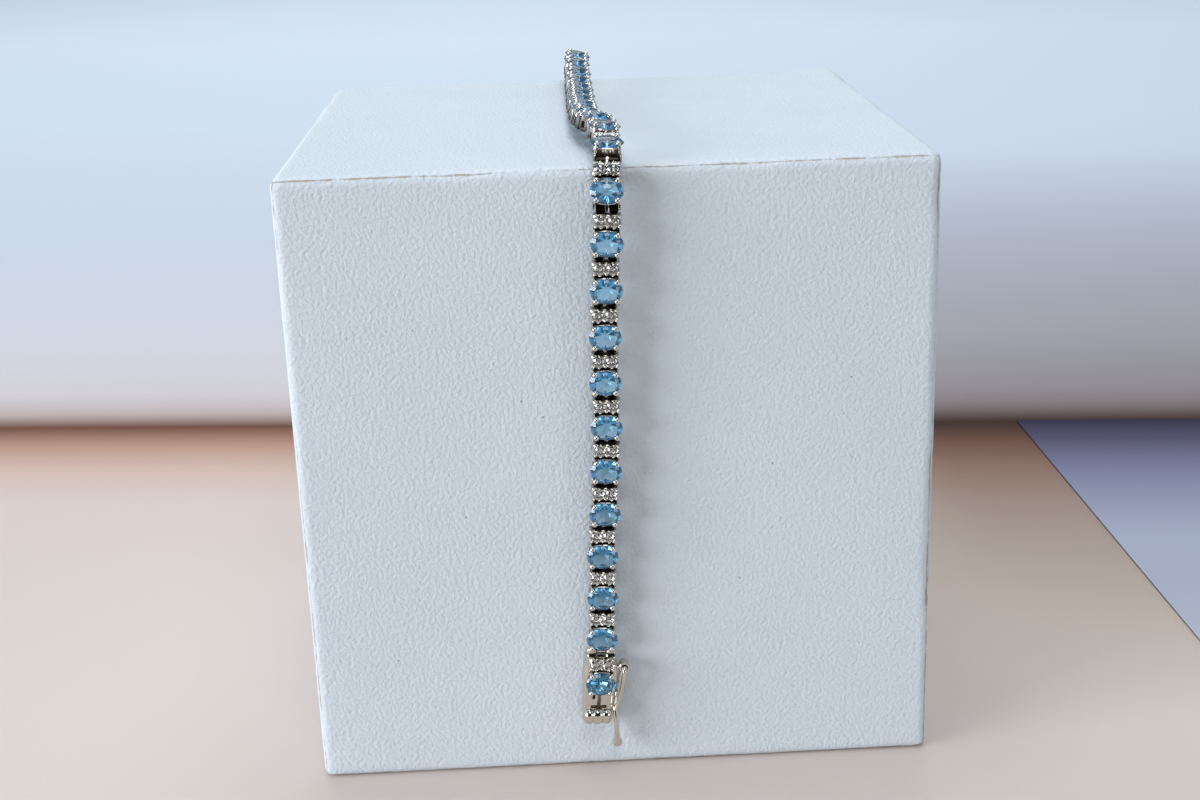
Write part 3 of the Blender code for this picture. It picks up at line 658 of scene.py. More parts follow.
@dataclass(frozen=True)
class Paper:
    """Uncoated coloured paper under and behind the block: matt, with a painted soft shadow along its fold.

    Args:
        name: the material's name.
        tones: its colours in the order of their distance beyond the fold, with painted shadow and shade in
            them.
        shade: the share of light left in the block's soft shadow at its right, by the same distance.
        shade_edge: where along x that shadow starts and where it is full.
        across: the level direction square to the fold.
        fold: how far along it the fold lies.
    """

    name: str
    tones: tuple[Tone, ...]
    shade: tuple[Tone, ...] = ()
    shade_edge: Pair = (20.0 * MM, 72.0 * MM)
    across: Triple = (0.1171, 0.9931, 0.0)
    fold: float = 98.9 * MM

    def ramp(
        self, tree: Tree, along: bpy.types.NodeSocket, tones: tuple[Tone, ...]
    ) -> bpy.types.NodeSocket:
        """Return the colour that runs through some tones with the distance beyond the fold.

        Args:
            tree: the material's tree.
            along: the distance along the direction square to the fold.
            tones: the colours in order.

        Returns:
            The ramp's colour output.
        """
        first, last = tones[0].distance, tones[-1].distance
        share = add_node(tree, "ShaderNodeMapRange", {
            "Value": along, "From Min": self.fold + first, "From Max": self.fold + last,
        })
        ramp = add_node(tree, "ShaderNodeValToRGB", {"Fac": share.outputs["Result"]})
        stops = ramp.color_ramp.elements
        for number, tone in enumerate(tones):
            place = (tone.distance - first) / (last - first)
            stop = stops[number] if number < 2 else stops.new(place)
            stop.position = place
            stop.color = to_linear(tone.colour)
        return ramp.outputs["Color"]

    def build(self) -> Material:
        """Return the material.

        Returns:
            A matt paper whose tones run with the distance beyond the fold, times the soft
            shadow's tones by the share of x between the shadow's edges.
        """
        material, tree, shader = principled(self.name, {"Roughness": 0.95})
        coords = add_node(tree, "ShaderNodeTexCoord").outputs["Object"]
        along = add_node(tree, "ShaderNodeVectorMath", {0: coords, 1: self.across}, operation="DOT_PRODUCT")
        colour = self.ramp(tree, along.outputs["Value"], self.tones)
        if self.shade:
            side = add_node(tree, "ShaderNodeSeparateXYZ", {0: coords})
            share = add_node(tree, "ShaderNodeMapRange", {
                "Value": side.outputs["X"], "From Min": self.shade_edge[0], "From Max": self.shade_edge[1],
            }, interpolation_type="SMOOTHSTEP")
            colour = add_node(tree, "ShaderNodeMix", {
                "Factor": share.outputs["Result"], 6: colour,
                7: self.ramp(tree, along.outputs["Value"], self.shade),
            }, data_type="RGBA", blend_type="MULTIPLY").outputs[2]
        tree.links.new(colour, shader.inputs["Base Color"])
        return material


def make_piece(
    name: str, surface: Surface, materials: list[Material], node: str,
    body: str = "bracelet", attribute: str = "recess", crease: float = 35.0,
) -> Thing:
    """Put a surface into the scene as one object at the origin, and tie it to its solid.

    Args:
        name: the piece's name.
        surface: the surface, in metres in the frame of the solids.
        materials: the materials that its finish numbers name.
        node: the solid that it replaces.
        body: the body that it rides on.
        attribute: the name of the point attribute that carries the surface's recess.
        crease: the angle in degrees past which a smooth edge is drawn sharp.

    Returns:
        The object; its faces point outwards.
    """
    mesh = bpy.data.meshes.new(name)
    corners = surface.faces.reshape(-1)
    sizes = np.where(surface.faces[:, 3] < 0, 3, 4)
    mesh.vertices.add(len(surface.points))
    mesh.vertices.foreach_set("co", surface.points.astype(np.float32).reshape(-1))
    mesh.loops.add(int(sizes.sum()))
    mesh.loops.foreach_set("vertex_index", corners[corners >= 0].astype(np.int32))
    mesh.polygons.add(len(sizes))
    mesh.polygons.foreach_set("loop_start", (np.cumsum(sizes) - sizes).astype(np.int32))
    mesh.polygons.foreach_set("material_index", surface.finish.astype(np.int32))
    mesh.update(calc_edges=True)
    work = bmesh.new()
    work.from_mesh(mesh)
    bmesh.ops.recalc_face_normals(work, faces=work.faces)
    work.to_mesh(mesh)
    work.free()
    mesh.polygons.foreach_set("use_smooth", surface.smooth.astype(bool))
    layer = mesh.attributes.new(attribute, "FLOAT", "POINT")
    layer.data.foreach_set("value", surface.recess.astype(np.float32))
    mesh.set_sharp_from_angle(angle=math.radians(crease))
    mesh.validate()
    for material in materials:
        mesh.materials.append(material)
    piece = link_object(name, mesh)
    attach(piece, body)
    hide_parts(node)
    LOG.info("%s: %d faces", name, len(surface.faces))
    return piece


@dataclass
class Places:
    """Where each oval sits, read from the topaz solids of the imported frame.

    Args:
        girdle_to_table: how far the table of an oval lies above its link's back.
    """

    girdle_to_table: float = 2.65 * MM
    ovals: int = 31
    matrices: Array = field(init=False)

    def read(self, nodes: dict[str, Thing]) -> Places:
        """Work out every link's place from its oval's points.

        Args:
            nodes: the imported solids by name.

        Returns:
            The places. The oval's longest spread is x and its shortest one z, which goes from the
            culet, the point farthest from the middle, to the table; y is z crossed with x.
        """
        matrices = []
        for number in range(1, self.ovals + 1):
            mesh = nodes[f"topaz_{number:02d}"].data
            points = np.empty(len(mesh.vertices) * 3)
            mesh.vertices.foreach_get("co", points)
            points = np.unique(points.reshape(-1, 3).round(7), axis=0)
            away = points - points.mean(axis=0)
            axes = np.linalg.eigh(away.T @ away)[1].T
            out, across = axes[0], axes[2]
            out = out if (away @ out).max() < -(away @ out).min() else -out
            across = across if across[0] > 0 else -across
            table = points[(away @ out) > (away @ out).max() - 0.01 * MM].mean(axis=0)
            axes = (across, np.cross(out, across), out)
            matrices.append(place_of(axes, table - out * self.girdle_to_table))
        self.matrices = np.array(matrices)
        return self


def level_ring(angles: Array, radius: float, height: float) -> Array:
    """Return points at some angles on a level circle: radius cos a, radius sin a, height."""
    return np.column_stack([radius * np.cos(angles), radius * np.sin(angles), np.full(len(angles), height)])


@dataclass
class Brilliant:
    """A brilliant cut: table, eight stars, eight kites, sixteen upper and lower halves, eight mains.

    Args:
        half_width: half its girdle across x.
        half_length: half its girdle along y.
        crown: the table's height above the girdle.
        pavilion: the culet's depth under the girdle.
        girdle_height: the girdle's height in the link's frame.
        girdle_band: the height of the girdle's upright band.
        table: the table's share of the girdle.
        star: how far the stars reach from the table towards the girdle, as a share.
        lower: how near the lower halves come to the culet, as a share of the girdle.
    """

    half_width: float
    half_length: float
    crown: float
    pavilion: float
    girdle_height: float
    girdle_band: float = 0.06 * MM
    table: float = 0.58
    star: float = 0.45
    lower: float = 0.24

    def surface(self, finish: Finish = Finish.METAL) -> Surface:
        """Return the stone's facets.

        Args:
            finish: the finish number of its faces.

        Returns:
            Flat facets. On a unit girdle a kite's plane is z = crown (1 - x) / (1 - table) and a
            main's is z = -pavilion (1 - x), each turned by eighths; x and y are then stretched.
            The recess marks the rim for its painted shade, a darker tint, more so at the two ends than
            at the sides: 0.20 + 0.35 sin^2 a at the stars' tips and 0.40 + 0.60 sin^2 a at the girdle.
        """
        eighth = math.pi / 4
        whole = np.arange(8) * eighth
        half = whole + eighth / 2
        easing = math.cos(eighth / 2)
        star_reach = self.table + self.star * (1 - self.table)
        star_height = self.crown * (1 - star_reach) / (1 - self.table)
        band = self.girdle_band / 2
        girdle = np.sort(np.concatenate([whole, half]))
        points = np.vstack([
            level_ring(whole, self.table, self.crown + band),
            level_ring(half, star_reach / easing, star_height + band),
            level_ring(girdle, 1.0, band),
            level_ring(girdle, 1.0, -band),
            level_ring(half, self.lower / easing, -self.pavilion * (1 - self.lower) - band),
            [[0.0, 0.0, self.crown + band], [0.0, 0.0, -self.pavilion - band]],
        ])
        points *= np.array([self.half_width, self.half_length, 1.0])
        points[:, 2] += self.girdle_height
        # Painted shade: how much of the rim's darker tint each point takes.
        rim = np.zeros(len(points))
        rim[8:16] = 0.20 + 0.35 * np.sin(half) ** 2
        rim[16:32] = 0.40 + 0.60 * np.sin(girdle) ** 2
        k = np.arange(8)
        before, after = (k - 1) % 8, (k + 1) % 8
        band_place = np.arange(16)
        band_after = (band_place + 1) % 16
        table, star, upper, under, low = k, 8 + k, 16 + 2 * k, 32 + 2 * k, 48 + k
        top, culet, none = np.full(8, 56), np.full(8, 57), np.full(8, -1)
        faces = np.vstack([np.stack(corners, axis=1) for corners in (
            (top, table, after, none),
            (table, star, after, none),
            (table, 8 + before, upper, star),
            (star, upper, upper + 1, none),
            (star, upper + 1, 16 + (2 * k + 2) % 16, none),
            (16 + band_place, 16 + band_after, 32 + band_after, 32 + band_place),
            (low, under, under + 1, none),
            (low, under + 1, 32 + (2 * k + 2) % 16, none),
            (culet, 48 + before, under, low),
        )])
        return Surface.made(points, faces, smooth=False, finish=finish).recessed(rim)


@dataclass
class OvalTopaz:
    """The ovals: sky-blue topaz, 4 by 3 mm with the stone's belly let a little over its rim."""

    cut: Brilliant = field(default_factory=lambda: Brilliant(
        2.0 * MM, 1.58 * MM, 0.54 * MM, 1.30 * MM, 2.1 * MM, table=0.60,
    ))
    rock: float = math.radians(1.6)
    seed: int = 11

    def build(self, places: Places, material: Material) -> list[Thing]:
        """Build one stone on each place, each rocked a little in its seat.

        Args:
            places: where the links are.
            material: the stone's finish.

        Returns:
            The stones, in the order of their solids.
        """
        dice = np.random.default_rng(self.seed)
        shape = self.cut.surface()
        pivot = np.array([0.0, 0.0, self.cut.girdle_height])
        stones = []
        for number, matrix in enumerate(places.matrices, 1):
            tip_x, tip_y = dice.uniform(-self.rock, self.rock, 2)
            turn = np.array([
                [math.cos(tip_y), 0, math.sin(tip_y)], [0, 1, 0], [-math.sin(tip_y), 0, math.cos(tip_y)],
            ]) @ np.array([
                [1, 0, 0], [0, math.cos(tip_x), -math.sin(tip_x)], [0, math.sin(tip_x), math.cos(tip_x)],
            ])
            rocked = place_of(turn.T, pivot - turn @ pivot)
            name, node = f"topaz_oval_{number:02d}", f"topaz_{number:02d}"
            stones.append(make_piece(name, shape.at(matrix @ rocked), [material], node))
        return stones


@dataclass
class TopazBasket:
    """The open basket of an oval: rail, rim, end plates, cheeks and four ball-tipped prongs."""

    half_width: float = 1.65 * MM
    half_length: float = 1.6 * MM
    wall: float = 0.4 * MM
    rail_height: float = 0.42 * MM
    rail_ease: float = 0.08 * MM
    rim_ease: float = 0.07 * MM
    rim_foot: float = 1.22 * MM
    rim_top: float = 1.98 * MM
    corner_power: float = 3.2
    around: int = 44
    window_half: float = 0.8 * MM
    prong_spot: Pair = (1.26 * MM, 1.166 * MM)
    prong_foot: Pair = (1.42 * MM, 1.37 * MM)
    prong_radius: float = 0.19 * MM
    ball_radius: float = 0.36 * MM
    ball_height: float = 2.42 * MM
    ear_reach: float = 0.42 * MM
    prong_heights: tuple[float, ...] = (0.2 * MM, 0.9 * MM, 1.6 * MM, 1.95 * MM, 2.15 * MM, 2.34 * MM)
    prong_lean: tuple[float, ...] = (0.0, 0.0, 0.05, 0.25, 0.55, 0.95)
    foot: float = 0.25 * MM
    plate_drop: float = 0.12 * MM
    plate_wall: float = 0.26 * MM
    plate_hollow: float = 0.08 * MM
    cheek_top: float = 1.45 * MM
    ear_wall: float = 0.24 * MM
    ear_foot: float = 0.30 * MM
    ear_top: float = 1.25 * MM
    shelf: Pair = (0.80 * MM, 1.35 * MM)
    shelf_foot: float = 0.3 * MM
    shelf_top: float = 1.32 * MM
    seat: Brilliant = field(default_factory=lambda: OvalTopaz().cut)
    seat_gap: float = 0.03 * MM
    seat_spread: float = 1.04

    def seat_height(self, x: Array, y: Array) -> Array:
        """Return how high metal may reach under the stone.

        Args:
            x: places across the band.
            y: places along it.

        Returns:
            The pavilion's cone, girdle - pavilion (1 - spread), less a small gap; no limit outside.
        """
        spread = np.hypot(x / self.seat.half_width, y / self.seat.half_length)
        cone = self.seat.girdle_height - self.seat.pavilion * (1 - spread)
        return np.where(spread < self.seat_spread, cone - self.seat_gap, np.inf)

    def hoop(self, low: float, high: float, ease: float) -> Surface:
        """Return a wall round the basket between two heights.

        Args:
            low: the height of its foot.
            high: the height of its top.
            ease: the bevel of its edges.

        Returns:
            A closed wall along a superellipse, x = a cos^(2/n) t and y = b sin^(2/n) t, with its
            top held under the stone.
        """
        path = superellipse(self.around, 2 / self.corner_power)
        path *= np.array([self.half_width - self.wall / 2, self.half_length - self.wall / 2])
        path = np.column_stack([path, np.zeros(self.around)])
        profile = rounded_rectangle(self.wall, high - low, ease, 2)
        rings = carried(path, profile[:, ::-1], Z_AXIS, closed=True)
        rings[..., 2] += (high + low) / 2
        rings[..., 2] = np.minimum(rings[..., 2], self.seat_height(rings[..., 0], rings[..., 1]))
        return loft(rings, closed=True)

    def prongs(self) -> list[Surface]:
        """Return the prongs.

        Returns:
            For each corner a round post, which goes from foot (1 - lean) + spot lean as it rises,
            and the ball at its tip, over the girdle.
        """
        foot, spot = np.array(self.prong_foot), np.array(self.prong_spot)
        lean = np.array(self.prong_lean)[:, None]
        upright = foot * (1 - lean) + spot * lean
        radii = (self.ball_radius, self.ball_radius, 0.9 * self.ball_radius)
        parts = []
        for side_x, side_y in product(BOTH, BOTH):
            path = np.column_stack([upright * np.array([side_x, side_y]), self.prong_heights])
            parts.append(loft(carried(path, circle(10, self.prong_radius), X_AXIS)))
            tip = (side_x * spot[0], side_y * spot[1], self.ball_height)
            parts.append(ellipsoid(tip, radii, around=14, along=9))
        return parts

    def plates(self) -> list[Surface]:
        """Return the walls of the basket's ends and sides.

        Returns:
            At each end a hollowed plate with painted shade, and behind it a shelf painted fully dark, which
            shows as painted shade in the stone's end; and the four cheeks beside the open windows of the
            flanks.
        """
        inner = self.half_width - self.wall
        top = self.rim_top - self.plate_drop
        parts = []
        for end in BOTH:
            edge = end * (self.half_length - 0.05 * MM)
            plate = slab(
                (-inner, edge, self.foot), (inner, edge - end * self.plate_wall, top),
                bevel=0.04 * MM, corner=0.08 * MM, bend=-end * self.plate_hollow,
            )
            shelf = slab(
                (-inner, end * self.shelf[0], self.shelf_foot), (inner, end * self.shelf[1], self.shelf_top),
                bevel=0.05 * MM, corner=0.2 * MM,
            )
            # Painted shade: the plate takes 0.75 of the full, the shelf all of it.
            parts += [plate.recessed(0.75), shelf.recessed(1.0)]
        outer, end_y = self.half_width - 0.03 * MM, self.half_length - 0.2 * MM
        for side_x, side_y in product(BOTH, BOTH):
            parts.append(slab(
                (side_x * inner, side_y * self.window_half, self.foot),
                (side_x * outer, side_y * end_y, self.cheek_top), bevel=0.03 * MM, corner=0.08 * MM,
            ))
        return parts

    def ears(self) -> list[Surface]:
        """Return the two thin side rails that reach over the joint towards the next link."""
        tip, root = -self.half_length - self.ear_reach, -self.half_length + 0.3 * MM
        return [slab(
            (side * (self.half_width - self.ear_wall), tip, self.ear_foot),
            (side * self.half_width, root, self.ear_top), bevel=0.05 * MM, corner=0.08 * MM,
        ) for side in BOTH]

    def surface(self, open_sides: bool = True) -> Surface:
        """Return the whole basket.

        Args:
            open_sides: whether it stands free; a closed box needs no rail, cheeks or ears.

        Returns:
            The basket as one surface.
        """
        parts = [self.hoop(self.rim_foot, self.rim_top, self.rim_ease), *self.prongs()]
        if open_sides:
            parts += [self.hoop(0.0, self.rail_height, self.rail_ease), *self.plates(), *self.ears()]
        return Surface.joined(parts)


@dataclass
class DiamondBar:
    """The bar of two round diamonds: scalloped edges, a cone-shaped seat each, and raised beads."""

    start: float = 1.75 * MM
    end: float = 3.6 * MM
    half_width: float = 1.65 * MM
    top: float = 1.98 * MM
    spacing: float = 1.55 * MM
    lobe_radius: float = 0.925 * MM
    flat_half: float = 0.80 * MM
    seat_radius: float = 0.72 * MM
    seat_depth: float = 0.66 * MM
    collar: float = 0.04 * MM
    collar_width: float = 0.05 * MM
    groove: float = 0.16 * MM
    groove_width: float = 0.10 * MM
    edge_fall: float = 0.10 * MM
    end_ease: float = 0.05
    stations: int = 38
    lanes: int = 24
    side_heights: tuple[float, ...] = (1.7 * MM, 1.1 * MM, 0.45 * MM, 0.06 * MM, 0.0)
    side_spread: tuple[float, ...] = (1.0, 0.985, 0.95, 0.90, 0.84)
    # Painted shade on the side walls at each of the side heights.
    side_shade: tuple[float, ...] = (0.75, 1.0, 1.0, 1.0, 0.8)
    corner_bead: Triple = (1.40 * MM, 0.62 * MM, 0.19 * MM)
    shared_bead: Triple = (0.0, 0.60 * MM, 0.20 * MM)
    lobe_bead: Triple = (1.55 * MM / 2, 0.80 * MM, 0.12 * MM)
    shade_top: float = 2.1 * MM
    shade_depth: float = 2.3 * MM
    neck_half: float = 1.45 * MM
    neck_top: float = 1.28 * MM
    stone: Brilliant = field(default_factory=lambda: Brilliant(
        0.70 * MM, 0.70 * MM, 0.20 * MM, 0.58 * MM, 2.0 * MM, girdle_band=0.03 * MM, table=0.55,
    ))

    @property
    def middle(self) -> float:
        """The bar's middle along the band."""
        return (self.start + self.end) / 2

    def half_length(self, x: Array) -> Array:
        """Return the bar's half length.

        Args:
            x: places across it.

        Returns:
            The larger of a flat and the lobe's circle, (radius^2 - away^2)^(1/2).
        """
        away = np.abs(x) - self.spacing / 2
        lobe = np.sqrt(np.maximum(self.lobe_radius ** 2 - away ** 2, 0.0))
        return np.maximum(self.flat_half, lobe)

    def height(self, x: Array, y: Array) -> Array:
        """Return the height of the bar's top.

        Args:
            x: places across it.
            y: places along it, from its middle.

        Returns:
            A cone inside each stone, -depth (1 - r / seat), then a thin collar as a bell curve of
            the radius, and a cut groove beyond.
        """
        radius = np.hypot(np.abs(x) - self.spacing / 2, y)
        seat = -self.seat_depth * (1 - radius / self.seat_radius)
        past = radius - self.seat_radius
        ridge = self.collar * np.exp(-((past - self.collar_width) / self.collar_width) ** 2)
        beyond = np.clip((past - self.groove_width) / self.groove_width, 0.0, 1.0)
        outside = ridge - self.groove * beyond
        return self.top + np.where(radius < self.seat_radius, seat, outside)

    def block(self) -> Surface:
        """Return the bar's body.

        Returns:
            A profile of top, sides and back carried across the band. The top's edge falls by the
            12th power of its share of the half length, and the profiles shrink a little by the
            24th power of their share of the half width. The walls carry painted shade, none at the two ends.
        """
        share = np.linspace(-1.0, 1.0, self.stations)
        x = self.half_width * share
        lanes = np.linspace(-1.0, 1.0, self.lanes)
        reach = self.half_length(x)
        top_y = reach[:, None] * lanes[None]
        top_z = self.height(x[:, None], top_y) - self.edge_fall * lanes[None] ** 12
        right_y = reach[:, None] * np.array(self.side_spread)[None]
        right_z = np.broadcast_to(self.side_heights, right_y.shape)
        y = np.concatenate([top_y, right_y, -right_y[:, ::-1]], axis=1) + self.middle
        z = np.concatenate([top_z, right_z, right_z[:, ::-1]], axis=1)
        across = np.broadcast_to(x[:, None], y.shape)
        ends = 1 - self.end_ease * np.abs(share[:, None]) ** 24
        rings = np.stack([across, self.middle + (y - self.middle) * ends, z * ends], axis=-1)
        body = loft(rings)
        # The side walls get painted shade, fading out towards the two ends.
        wall = np.concatenate([np.zeros(self.lanes), self.side_shade, self.side_shade[::-1]])
        deep = (wall[None] * (1 - np.abs(share[:, None]) ** 8)).reshape(-1)
        return body.recessed(np.concatenate([deep, [0.0, 0.0]]))

    def beads(self) -> list[Surface]:
        """Return the raised beads.

        Returns:
            One at each corner, one shared in the middle of each edge, and small ones on the lobes.
        """
        beads = []
        for across, along, size in (self.corner_bead, self.shared_bead, self.lobe_bead):
            for x, side in product((-across, across) if across else (0.0,), BOTH):
                spot = (x, self.middle + side * along, self.top - 0.02 * MM)
                beads.append(ellipsoid(spot, (size, size, 1.1 * size), around=9, along=6))
        return beads

    def neck(self) -> Surface:
        """Return the low bridge that joins the bar to its basket."""
        # Painted shade: the neck lies low between bar and basket and takes 0.85 of the full.
        return slab(
            (-self.neck_half, self.start - 0.3 * MM, 0.1 * MM),
            (self.neck_half, self.start + 0.2 * MM, self.neck_top), bevel=0.05 * MM, corner=0.1 * MM,
        ).recessed(0.85)

    def surface(self) -> Surface:
        """Return the bar with its beads, neck and diamonds."""
        parts = [self.block(), self.neck(), *self.beads()]
        stone = self.stone.surface(Finish.DIAMOND)
        parts += [stone.at(shifted((side * self.spacing / 2, self.middle, 0.0))) for side in BOTH]
        return Surface.joined(parts)


@dataclass
class HingeLug:
    """The centre lug between two links: a strap along the bend and a knuckle across it."""

    upper_start: float = 3.4 * MM
    lower_start: float = -1.45 * MM
    hinge_upper: float = 3.89 * MM
    hinge_lower: float = -1.89 * MM
    height: float = 0.6 * MM
    strap_rise: float = 0.22 * MM
    width: float = 0.5 * MM
    thickness: float = 0.6 * MM
    strap_corner: float = 0.12 * MM
    knuckle_radius: float = 0.40 * MM
    knuckle_half: float = 1.34 * MM
    steps: int = 9

    def between(self, lower: Array, upper: Array) -> Surface:
        """Return the lug that joins one link's bar to the next link's basket.

        Args:
            lower: the place of the link nearer the clasp.
            upper: the place of the link beyond it.

        Returns:
            A flat strap along a quadratic curve whose control point is the hinge's middle, and a
            barrel across it.
        """
        start = at_place(lower, (0.0, self.upper_start, self.height))
        end = at_place(upper, (0.0, self.lower_start, self.height))
        hinge = (
            at_place(lower, (0.0, self.hinge_upper, self.height))
            + at_place(upper, (0.0, self.hinge_lower, self.height))
        ) / 2
        rise = self.strap_rise * unit(lower[:3, 2] + upper[:3, 2])
        t = np.linspace(0.0, 1.0, self.steps)[:, None]
        path = bent(start, hinge, end, t) + rise
        across = (1 - t) * lower[:3, 0] + t * upper[:3, 0]
        profile = rounded_rectangle(self.width, self.thickness, self.strap_corner)
        strap = loft(carried(path, profile, across))
        side = unit(lower[:3, 0] + upper[:3, 0])
        out = unit(np.cross(side, end - start))
        place = place_of((side, np.cross(out, side), out), hinge)
        knuckle = barrel(np.zeros(3), self.knuckle_half, self.knuckle_radius, sides=14).at(place)
        # Painted shade: a little on the strap, all of it on the knuckle between the links.
        return Surface.joined([strap.recessed(0.2), knuckle.recessed(1.0)])


@dataclass
class EndEye:
    """The eye of an end link: a shank and a ring across the band, round the clasp's or tongue's pin."""

    reach: float = 0.7 * MM
    radius: float = 0.46 * MM
    hole: float = 0.28 * MM
    half_width: float = 0.5 * MM
    height: float = 0.6 * MM
    shank_half: float = 0.25 * MM

    def surface(self, end: End, wall: float) -> Surface:
        """Return the eye at one end of a link.

        Args:
            end: the end that carries it.
            wall: where the shank starts inside the link, along the band.

        Returns:
            The shank and the ring as one surface.
        """
        middle = wall + end.value * self.reach
        near = middle - end.value * 0.8 * self.radius
        low, high = self.height - self.shank_half, self.height + self.shank_half
        shank = slab(
            (-self.half_width, wall, low), (self.half_width, near, high), bevel=0.04 * MM, corner=0.06 * MM
        )
        ring = barrel(np.array([0.0, middle, self.height]), self.half_width, self.radius, 20, self.hole)
        eye = Surface.joined([shank, ring])
        # Painted shade: the eye lies low at the link's end and takes half of the full.
        eye.recess += 0.5
        return eye


@dataclass
class Chain:
    """The run of links: baskets and diamond bars, joined by lugs, in two nodes that meet on top."""

    front_links: int = 18
    basket: TopazBasket = field(default_factory=TopazBasket)
    bar: DiamondBar = field(default_factory=DiamondBar)
    lug: HingeLug = field(default_factory=HingeLug)
    eye: EndEye = field(default_factory=EndEye)
    # Half sizes of the place under the oval that is left without painted shade, where the stone throws light
    # back.
    lit_under_oval: Pair = (1.27 * MM, 0.78 * MM)
    eye_walls: Pair = (-1.4 * MM, 3.4 * MM)

    def link(self) -> Surface:
        """Return one link in its own frame.

        Returns:
            The basket and the bar with painted shade that darkens them from the top down, left out
            under the oval, where the stone throws the metal's light back.
        """
        whole = Surface.joined([self.basket.surface(), self.bar.surface()])
        whole = whole.shaded_from(self.bar.shade_top, self.bar.shade_depth)
        x, y = np.abs(whole.points[:, 0]), np.abs(whole.points[:, 1])
        inside = (x < self.lit_under_oval[0]) & (y < self.lit_under_oval[1])
        return whole.recessed(np.where(inside, 0.0, whole.recess))

    def build(self, places: Places, metal: Material, diamond: Material) -> list[Thing]:
        """Build the front and the rear run.

        Args:
            places: where the ovals are; the first one is the clasp's.
            metal: the setting's finish.
            diamond: the finish of the small stones.

        Returns:
            The two runs, each one body with its diamonds fused to it.
        """
        links = places.matrices[1:]
        joints = [self.lug.between(low, high) for low, high in zip(links[:-1], links[1:])]
        link = self.link()
        split = self.front_links
        first = self.eye.surface(End.LOWER, self.eye_walls[0]).at(links[0])
        last = self.eye.surface(End.UPPER, self.eye_walls[1]).at(links[-1])
        front = Surface.joined([link.placed(links[:split]), *joints[:split], first])
        rear = Surface.joined([link.placed(links[split:]), *joints[split:], last])
        return [
            make_piece(f"{node}_setting", surface, [metal, diamond], node)
            for node, surface in (("chain_front", front), ("chain_rear", rear))
        ]


